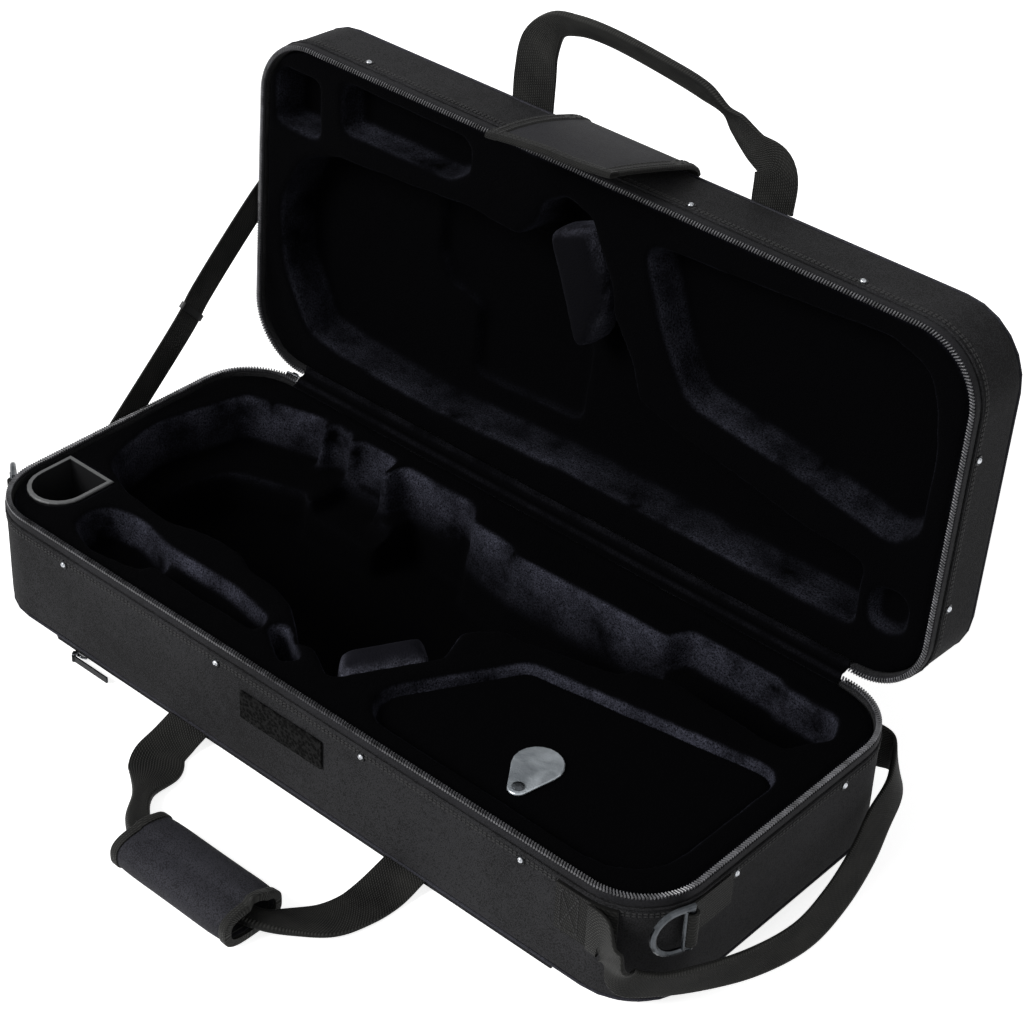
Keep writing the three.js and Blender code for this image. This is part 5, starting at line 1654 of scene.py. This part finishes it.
@dataclass
class Flap(Assembly):
    """The closing flap with its binding, stitches and the touch fastener."""

    left: float = -56.0
    width: float = 106.0
    length: float = 112.0
    thickness: float = 2.4
    binding: float = 11.0
    bound: float = 3.8
    stand_off: float = 5.4
    lift: float = 15.0
    # The middle hangs by the sag, less at the sides; the left corner hangs by its drop as well
    sag: float = 6.0
    side_stiffness: float = 0.6
    corner_drop: float = 9.0
    corner_power: float = 1.5
    tip: float = 1.1
    steps: int = 60
    hem_steps: int = 40
    hook_voxel: float = 0.8
    overlap: float = 1.0
    free_middle: float = 0.6
    root: float = 28.0
    curl_start: float = 62.0
    curl_keep: float = 0.84
    flat_keep: float = 0.12
    # The root's middle line, as shares of the way out and of the thickness downwards
    root_form: tuple[Row, ...] = ((0, 0), (0.55, 1.4), (0.94, 4.5))
    hem_extra: float = 0.4
    stitch_lift: float = 0.1
    side_rows: tuple[float, float] = (0.35, 0.8)
    hem_row: float = 0.25
    row_gap: float = 3.6
    row_margin: float = 3.0

    def droop(self, piece: Piece) -> Piece:
        """Lets the free end and its left corner hang.

        Args:
            piece: A piece of the flap, in the part's frame.

        Returns:
            The piece.
        """
        matrix = self.matrix()
        back = matrix.inverted()
        for vertex in piece.data.vertices:
            at = back @ vertex.co
            across = (at.x - self.left - self.width / 2) / (self.width / 2)
            along = min(max((-at.z - self.root) / (self.length - self.root), 0.0), self.tip)
            fall = self.sag * (1 - self.side_stiffness * across**2) * along**2
            corner = self.corner_drop * max(0.0, -across) ** self.corner_power * along**2
            at.y += fall + corner
            at.z += max(0.0, -at.z - self.curl_start) * (1 - self.curl_keep)
            vertex.co = matrix @ at
        piece.data.update()
        return piece

    def away(self) -> float:
        """Where the flat part of the flap lies, in its own frame."""
        return -(CASE.seam(Half.LID).y + self.stand_off)

    def root_path(self) -> list[Vector]:
        """The middle line of the part that is sewn to the lid, from the seam on."""
        away = self.away()
        path = [Vector((0, away * out, -self.thickness * down)) for out, down in self.root_form]
        return [*path, Vector((0, away, -self.root))]

    def free_path(self) -> list[Vector]:
        """The middle line of the part that hangs free, in its pressed place."""
        levels = (self.root - self.overlap, self.length * self.free_middle, self.length)
        return [Vector((0, self.away(), -level)) for level in levels]

    def flatten(self, piece: Piece) -> None:
        """Gives a hanging piece a mesh of its own."""
        matrix = self.matrix()
        anchor = matrix @ Vector((0, self.away(), -self.length / 2))
        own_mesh(piece)

    def matrix(self) -> Matrix:
        """From the flap's own frame to the part's."""
        turn = Matrix.Rotation(-math.radians(self.lift), 4, "X")
        return to_part(Half.LID) @ Matrix.Translation(CASE.seam(Half.LID)) @ turn

    def band(
        self, name: str, centre: float, width: float, thick: float, path: list[Vector]
    ) -> Piece:
        """One band of the flap, running from the seam to the free end."""
        stations = [Station(p + X_AXIS * centre, X_AXIS, width, thick) for p in path]
        return self.droop(Strap(name, stations, self.steps).build(self.matrix()))

    def hem(self, name: str, end: Vector) -> Piece:
        """The binding along the free end, running across the flap."""
        height = self.binding + CASE.seat
        middle = end + Vector((0, 0, height / 2 - CASE.seat))
        stations = [
            Station(middle + Vector((x, 0, 0)), Z_AXIS, height, self.bound + self.hem_extra)
            for x in (self.left, self.left + self.width / 2, self.left + self.width)
        ]
        return self.droop(Strap(name, stations, self.hem_steps).build(self.matrix()))

    def build(self) -> None:
        """Makes the flap."""
        middle = self.left + self.width / 2
        cloth_width = self.width - self.binding
        sides = (self.left + self.binding / 2, self.left + self.width - self.binding / 2)
        root, free = self.root_path(), self.free_path()
        end = free[-1]
        piece = self.band("flap_root", middle, cloth_width, self.thickness, root)
        self.shop.place(piece, FLAP_FABRIC, "flap", "shell_fabric")
        for number, x in enumerate(sides):
            piece = self.band(f"flap_root_binding_{number + 1}", x, self.binding, self.bound, root)
            self.shop.place(piece, BINDING, "flap", "webbing")
        hanging = [self.band("flap_cloth", middle, cloth_width, self.thickness, free)]
        self.shop.place(hanging[0], FLAP_FABRIC, "flap", "shell_fabric", ["closing_flap"])
        for number, x in enumerate(sides):
            piece = self.band(f"flap_binding_{number + 1}", x, self.binding, self.bound, free)
            hanging.append(self.shop.place(piece, BINDING, "flap", "webbing"))
        hanging.append(self.shop.place(self.hem("flap_binding_3", end), BINDING, "flap", "webbing"))
        hooks = node_copy("flap_hooks", self.shop.nodes["hook_patch"])
        apply(hooks, "REMESH", mode="VOXEL", voxel_size=self.hook_voxel * MM)
        hanging.append(self.shop.place(self.droop(hooks), HOOK_TAPE, "flap", "webbing", ["hook_patch"]))
        self.shop.paint(LOOP_TAPE, "loop_patch")
        row = self.sewn(free)
        low = end.z + self.binding * self.hem_row
        face = end.y - self.bound / 2 - self.stitch_lift
        for level in (low, low + self.row_gap):
            start = Vector((self.left + self.row_margin, face, level))
            stop = Vector((self.left + self.width - self.row_margin, face, level))
            row.line(start, stop, -Y_AXIS, self.matrix())
        stitches = self.droop(row.build("flap_stitches"))
        hanging.append(self.shop.place(stitches, THREAD, "flap", "webbing"))
        self.shop.place(self.sewn(root).build("flap_root_stitches"), THREAD, "flap", "webbing")
        for piece in hanging:
            self.flatten(piece)

    def sewn(self, path: list[Vector]) -> SeamStitches:
        """Two rows of stitches along each side binding.

        Args:
            path: The middle line of the part that they are on.

        Returns:
            The rows, not yet made.
        """
        row = SeamStitches()
        length = path_length(path)
        count = int(length / row.pitch)
        points = [curve_point(path, (k + 0.5) / (count + 1), True) for k in range(count + 1)]
        for x, way in ((self.left, 1), (self.left + self.width, -1)):
            for inset in (self.binding * share for share in self.side_rows):
                route = []
                for a, b in zip(points, points[1:]):
                    out = (b - a).cross(X_AXIS).normalized()
                    out = out if out.y < 0 else -out
                    place = Vector((x + way * inset, a.y, a.z))
                    route.append((place + out * (self.bound / 2 + self.stitch_lift), out))
                row.follow(route, self.matrix())
        return row


@dataclass
class Hardware(Assembly):
    """Metal and plastic fittings; the studs and the bars of the rings are made here."""

    studs: int = 8
    dome: Vector = field(default_factory=lambda: Vector((2.3, 2.3, 2.0)))
    dome_sides: int = 20
    dome_rings: int = 12
    dome_cut: float = -0.1
    collar: float = 2.9
    collar_wire: float = 0.7
    collar_sides: int = 24
    collar_rings: int = 8
    bar_step: float = 7.0
    bar_wire: float = 3.0
    arm_points: int = 8

    def seeds(self) -> tuple[bpy.types.Mesh, bpy.types.Mesh]:
        """A stud's polished dome and the turned collar round it, each modelled once."""
        deselect()
        sides, rings = self.dome_sides, self.dome_rings
        bpy.ops.mesh.primitive_uv_sphere_add(segments=sides, ring_count=rings, radius=1)
        ball = bpy.context.object
        bpy.ops.object.mode_set(mode="EDIT")
        bpy.ops.mesh.select_all(action="SELECT")
        cut = (0, 0, self.dome_cut)
        bpy.ops.mesh.bisect(plane_co=cut, plane_no=(0, 0, 1), clear_inner=True)
        bpy.ops.object.mode_set(mode="OBJECT")
        close_below(ball.data, self.dome_cut)
        ball.data.transform(Matrix.Diagonal((*self.dome, 1)))
        deselect()
        bpy.ops.mesh.primitive_torus_add(
            major_radius=self.collar,
            minor_radius=self.collar_wire,
            major_segments=self.collar_sides,
            minor_segments=self.collar_rings,
        )
        ring = bpy.context.object
        found = (ball.data, ring.data)
        bpy.data.objects.remove(ball)
        bpy.data.objects.remove(ring)
        return found

    def stud_places(self, half: Half) -> tuple[list[str], list[Matrix]]:
        """The stud nodes of one half and where a stud stands for each.

        Args:
            half: The half of the case.

        Returns:
            The nodes' names, and the matrices from a stud's own frame in millimetres.
        """
        turn = to_part(half).to_3x3().normalized()
        shell = sum((Vector(corner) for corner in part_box(f"{half.value}_shell")), Vector()) / 2
        names = [f"{half.value}_stud_{k + 1}" for k in range(self.studs)]
        places = []
        for name in names:
            low, high = (Vector(corner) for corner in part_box(name))
            size = high - low
            flat = min(range(3), key=lambda axis: size[axis])
            out = Vector((0, 0, 0))
            out[flat] = math.copysign(1.0, ((low + high) / 2 - shell)[flat])
            level = turn.inverted() @ out
            main = max(range(3), key=lambda axis: abs(level[axis]))
            snapped = Vector((0, 0, 0))
            snapped[main] = math.copysign(1.0, level[main])
            out = turn @ snapped
            foot = (low + high) / 2 - out * size[flat] / 2
            aim = out.to_track_quat("Z", "Y").to_matrix().to_4x4()
            places.append(Matrix.Translation(foot) @ aim @ Matrix.Scale(MM, 4))
        return names, places

    def ring_bar(self, side: str) -> None:
        """The straight bar of a D-ring, in front of its keeper.

        Args:
            side: The end of the case, right or left.
        """
        points = [v.co.copy() for v in self.shop.nodes[f"{side}_ring"].data.vertices]
        axis = 1 if side == "right" else 0
        edge = max(p[axis] for p in points)
        middle = (max(p.z for p in points) + min(p.z for p in points)) / 2
        ends = []
        for upper in (False, True):
            arm = [p for p in points if (p.z > middle) == upper]
            arm.sort(key=lambda p: abs(edge - p[axis] - self.bar_step * MM))
            at = sum(arm[: self.arm_points], Vector()) / self.arm_points
            at[axis] = edge - self.bar_step * MM
            ends.append(at / MM)
        places = (ends[0].lerp(ends[1], t) for t in (0, 0.5, 1))
        stations = [Station(place, X_AXIS, self.bar_wire, self.bar_wire) for place in places]
        piece = Strap(f"{side}_ring_bar", stations, 8).build(Matrix.Scale(MM, 4))
        self.shop.place(piece, CAST, f"ring_{side}", "cast_metal")

    def build(self) -> None:
        """Dresses the fittings."""
        dome, collar = self.seeds()
        for half in Half:
            names, places = self.stud_places(half)
            piece = copies(f"{half.value}_stud_collars", collar, places)
            self.shop.place(piece, STUD_COLLAR, half.value, "nickel", names)
            piece = copies(f"{half.value}_stud_domes", dome, places)
            self.shop.place(piece, STUD_DOME, half.value, "nickel")
        for side in ("right", "left"):
            self.ring_bar(side)
        hinges = [f"hinge_leaf_{half.value}_{side}" for half in Half for side in ("left", "right")]
        self.shop.paint(NICKEL, "zipper_slider", "slider_pull", "pocket_slider")
        self.shop.paint(HINGE_STEEL, *hinges, "pocket_pull")
        self.shop.paint(CAST, "right_ring", "left_ring", "tab_rivet")
        self.shop.paint(GREY_PLASTIC, "mouthpiece_tube")
        self.shop.paint(SILVER_LEATHER, "pull_tab")


@dataclass
class BackCloth(Assembly):
    """The cloth that closes the gap behind the case between the hinges."""

    span: float = 316.0
    drop: float = 27.0
    thickness: float = 0.8
    steps: int = 48
    bend_reach: float = 6.0
    # How far the fold at the hinge stands out and lies low, in thicknesses
    fold: tuple[float, float] = (1.5, 3.0)
    inner_span: float = 522.0
    inner_thickness: float = 1.0
    inner_steps: int = 30
    # Half of the strip's way from the base's rim, round the hinge axis
    inner_path: tuple[Row, ...] = ((0, -9.4, -2.4), (0, -4.9, -1.3), (0, -2.3, 2.3))

    def build(self) -> None:
        """Makes the cloth, bending between base and lid."""
        hinge = CASE.hinge()
        t = self.thickness
        slope = math.tan(math.radians(CASE.open_angle - 90))
        face = hinge.z + CASE.hinge_behind - CASE.seat - t
        wall = CASE.depth + CASE.seat + t / 2
        outs = (self.drop / 6, self.drop / 2, self.drop)
        points = [Vector((0, wall, hinge.z - out)) for out in reversed(outs)]
        points.append(Vector((0, wall + t * self.fold[0], hinge.z - t * self.fold[1])))
        points += [Vector((0, hinge.y + out, face - out * slope)) for out in outs]
        stations = [Station(p, X_AXIS, self.span, t) for p in points]
        matrix = to_part(Half.BASE)
        piece = Strap("back_cloth", stations, self.steps).build(matrix)
        self.shop.place(piece, FABRIC, "", "shell_fabric", ["back_gusset"])
        length = path_length(points)
        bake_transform(piece)
        self.inner()

    def inner(self) -> None:
        """The plush strip inside, from rim to rim, that hides the hinges."""
        hinge = CASE.hinge()
        base = [Vector(place) for place in self.inner_path]
        turn = Matrix.Rotation(-math.radians(CASE.open_angle), 3, "X")
        mirror = 2 * CASE.hinge_below
        lid = [turn @ Vector((0, p.y, mirror - p.z)) for p in base]
        points = [hinge + p for p in (*base, *reversed(lid))]
        stations = [Station(p, X_AXIS, self.inner_span, self.inner_thickness) for p in points]
        matrix = to_part(Half.BASE)
        piece = Strap("hinge_plush", stations, self.inner_steps).build(matrix)
        self.shop.place(piece, HINGE_PLUSH, "", "plush")
        start, end = (tuple(matrix @ (hinge + half[1])) for half in (base, lid))
        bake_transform(piece)
        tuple(start)
        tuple(end)


@dataclass
class Studio:
    """Camera, floor and light."""

    azimuth: float = 40.42
    elevation: float = 35.3
    roll: float = 2.63
    target: tuple[float, float, float] = (82.87, 130.13, 216.73)
    distance: float = 1657.4
    focal_px: float = 2555.06
    sensor: float = 36.0
    clip: tuple[float, float] = (0.05, 50.0)
    floor_size: float = 12.0
    floor_grey: float = 0.4
    floor_glow: float = 0.8
    sky: float = 0.25
    # Name, direction from the case, strength and width in degrees of each lamp
    lamps: tuple[tuple[str, Row, float, float], ...] = (
        ("key", (-0.35, -0.75, 0.56), 2.7, 30.0),
        ("fill", (0.8, -0.4, 0.45), 0.22, 50.0),
    )

    def camera(self) -> None:
        """The photograph's camera, solved from the outline of the case."""
        az, el, roll = (math.radians(a) for a in (self.azimuth, self.elevation, self.roll))
        back = Vector((math.sin(az) * math.cos(el), -math.cos(az) * math.cos(el), math.sin(el)))
        right = Vector((math.cos(az), math.sin(az), 0))
        up = back.cross(right)
        turned = right * math.cos(roll) + up * math.sin(roll)
        raised = up * math.cos(roll) - right * math.sin(roll)
        data = bpy.data.cameras.new("camera")
        data.sensor_width = self.sensor
        data.lens = self.focal_px / IMAGE * data.sensor_width
        data.clip_start, data.clip_end = self.clip
        camera = new_object("camera", data)
        place = (Vector(self.target) + back * self.distance - Y_AXIS * (CASE.depth / 2)) * MM
        turn = Matrix((turned, raised, back)).transposed().to_4x4()
        camera.matrix_world = Matrix.Translation(place) @ turn
        bpy.context.scene.camera = camera

    def seen(self, tree: Tree) -> Socket:
        """One for rays from the camera and from gloss, nought for the others."""
        rays = add_node(tree, "LightPath").outputs
        return add_node(tree, "Math", {"operation": "MAXIMUM"}, {0: rays[0], 1: rays[3]}).outputs[0]

    def floor(self) -> None:
        """A white floor that keeps the object's shadow and shows white to the camera and to gloss."""
        deselect()
        bpy.ops.mesh.primitive_plane_add(size=self.floor_size)
        plane = bpy.context.object
        plane.name = "floor"
        material = bpy.data.materials.new("paper_floor")
        material.use_nodes = True
        tree = material.node_tree
        tree.nodes.clear()
        plain = add_node(tree, "BsdfDiffuse", {}, {0: (*[self.floor_grey] * 3, 1)}).outputs[0]
        white = add_node(tree, "BsdfDiffuse", {}, {0: WHITE}).outputs[0]
        glow = add_node(tree, "Emission", {}, {0: WHITE, 1: self.floor_glow}).outputs[0]
        bright = add_node(tree, "AddShader", {}, {0: white, 1: glow}).outputs[0]
        mix = add_node(tree, "MixShader", {}, {0: self.seen(tree), 1: plain, 2: bright})
        add_node(tree, "OutputMaterial", {}, {0: mix.outputs[0]})
        plane.data.materials.append(material)

    def world(self) -> None:
        """White to the camera and to gloss, a soft level elsewhere."""
        world = bpy.data.worlds.new("studio")
        bpy.context.scene.world = world
        world.use_nodes = True
        tree = world.node_tree
        tree.nodes.clear()
        level = add_node(tree, "MapRange", {}, {0: self.seen(tree), 3: self.sky, 4: 1.0})
        light = add_node(tree, "Background", {}, {0: WHITE, 1: level.outputs[0]})
        add_node(tree, "OutputWorld", {}, {0: light.outputs[0]})

    def lamp(self, name: str, way: Row, strength: float, spread: float) -> None:
        """A broad lamp far off.

        Args:
            name: Its name.
            way: Direction from the case to the lamp.
            strength: Its strength.
            spread: How wide it looks, in degrees.
        """
        data = bpy.data.lights.new(name, "SUN")
        data.energy = strength
        data.angle = math.radians(spread)
        lamp = new_object(name, data)
        lamp.rotation_euler = Vector(way).to_track_quat("Z", "Y").to_euler()

    def build(self) -> None:
        """Sets the stage."""
        self.camera()
        self.floor()
        self.world()
        for lamp in self.lamps:
            self.lamp(*lamp)
        bpy.context.scene.view_settings.view_transform = "Standard"


def main(frame: dict[str, Any]) -> None:
    """Builds every sub-assembly around the frame.
    """
    logging.basicConfig(level=logging.INFO, format="%(name)s: %(message)s")
    Studio().build()
    shop = Workshop(frame)
    for half in Half:
        Shell(shop, half).build()
    for assembly in (Liners, Handles, Flap, Hardware, BackCloth):
        assembly(shop).build()


if __name__ == "__main__":
    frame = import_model()
    main(frame)
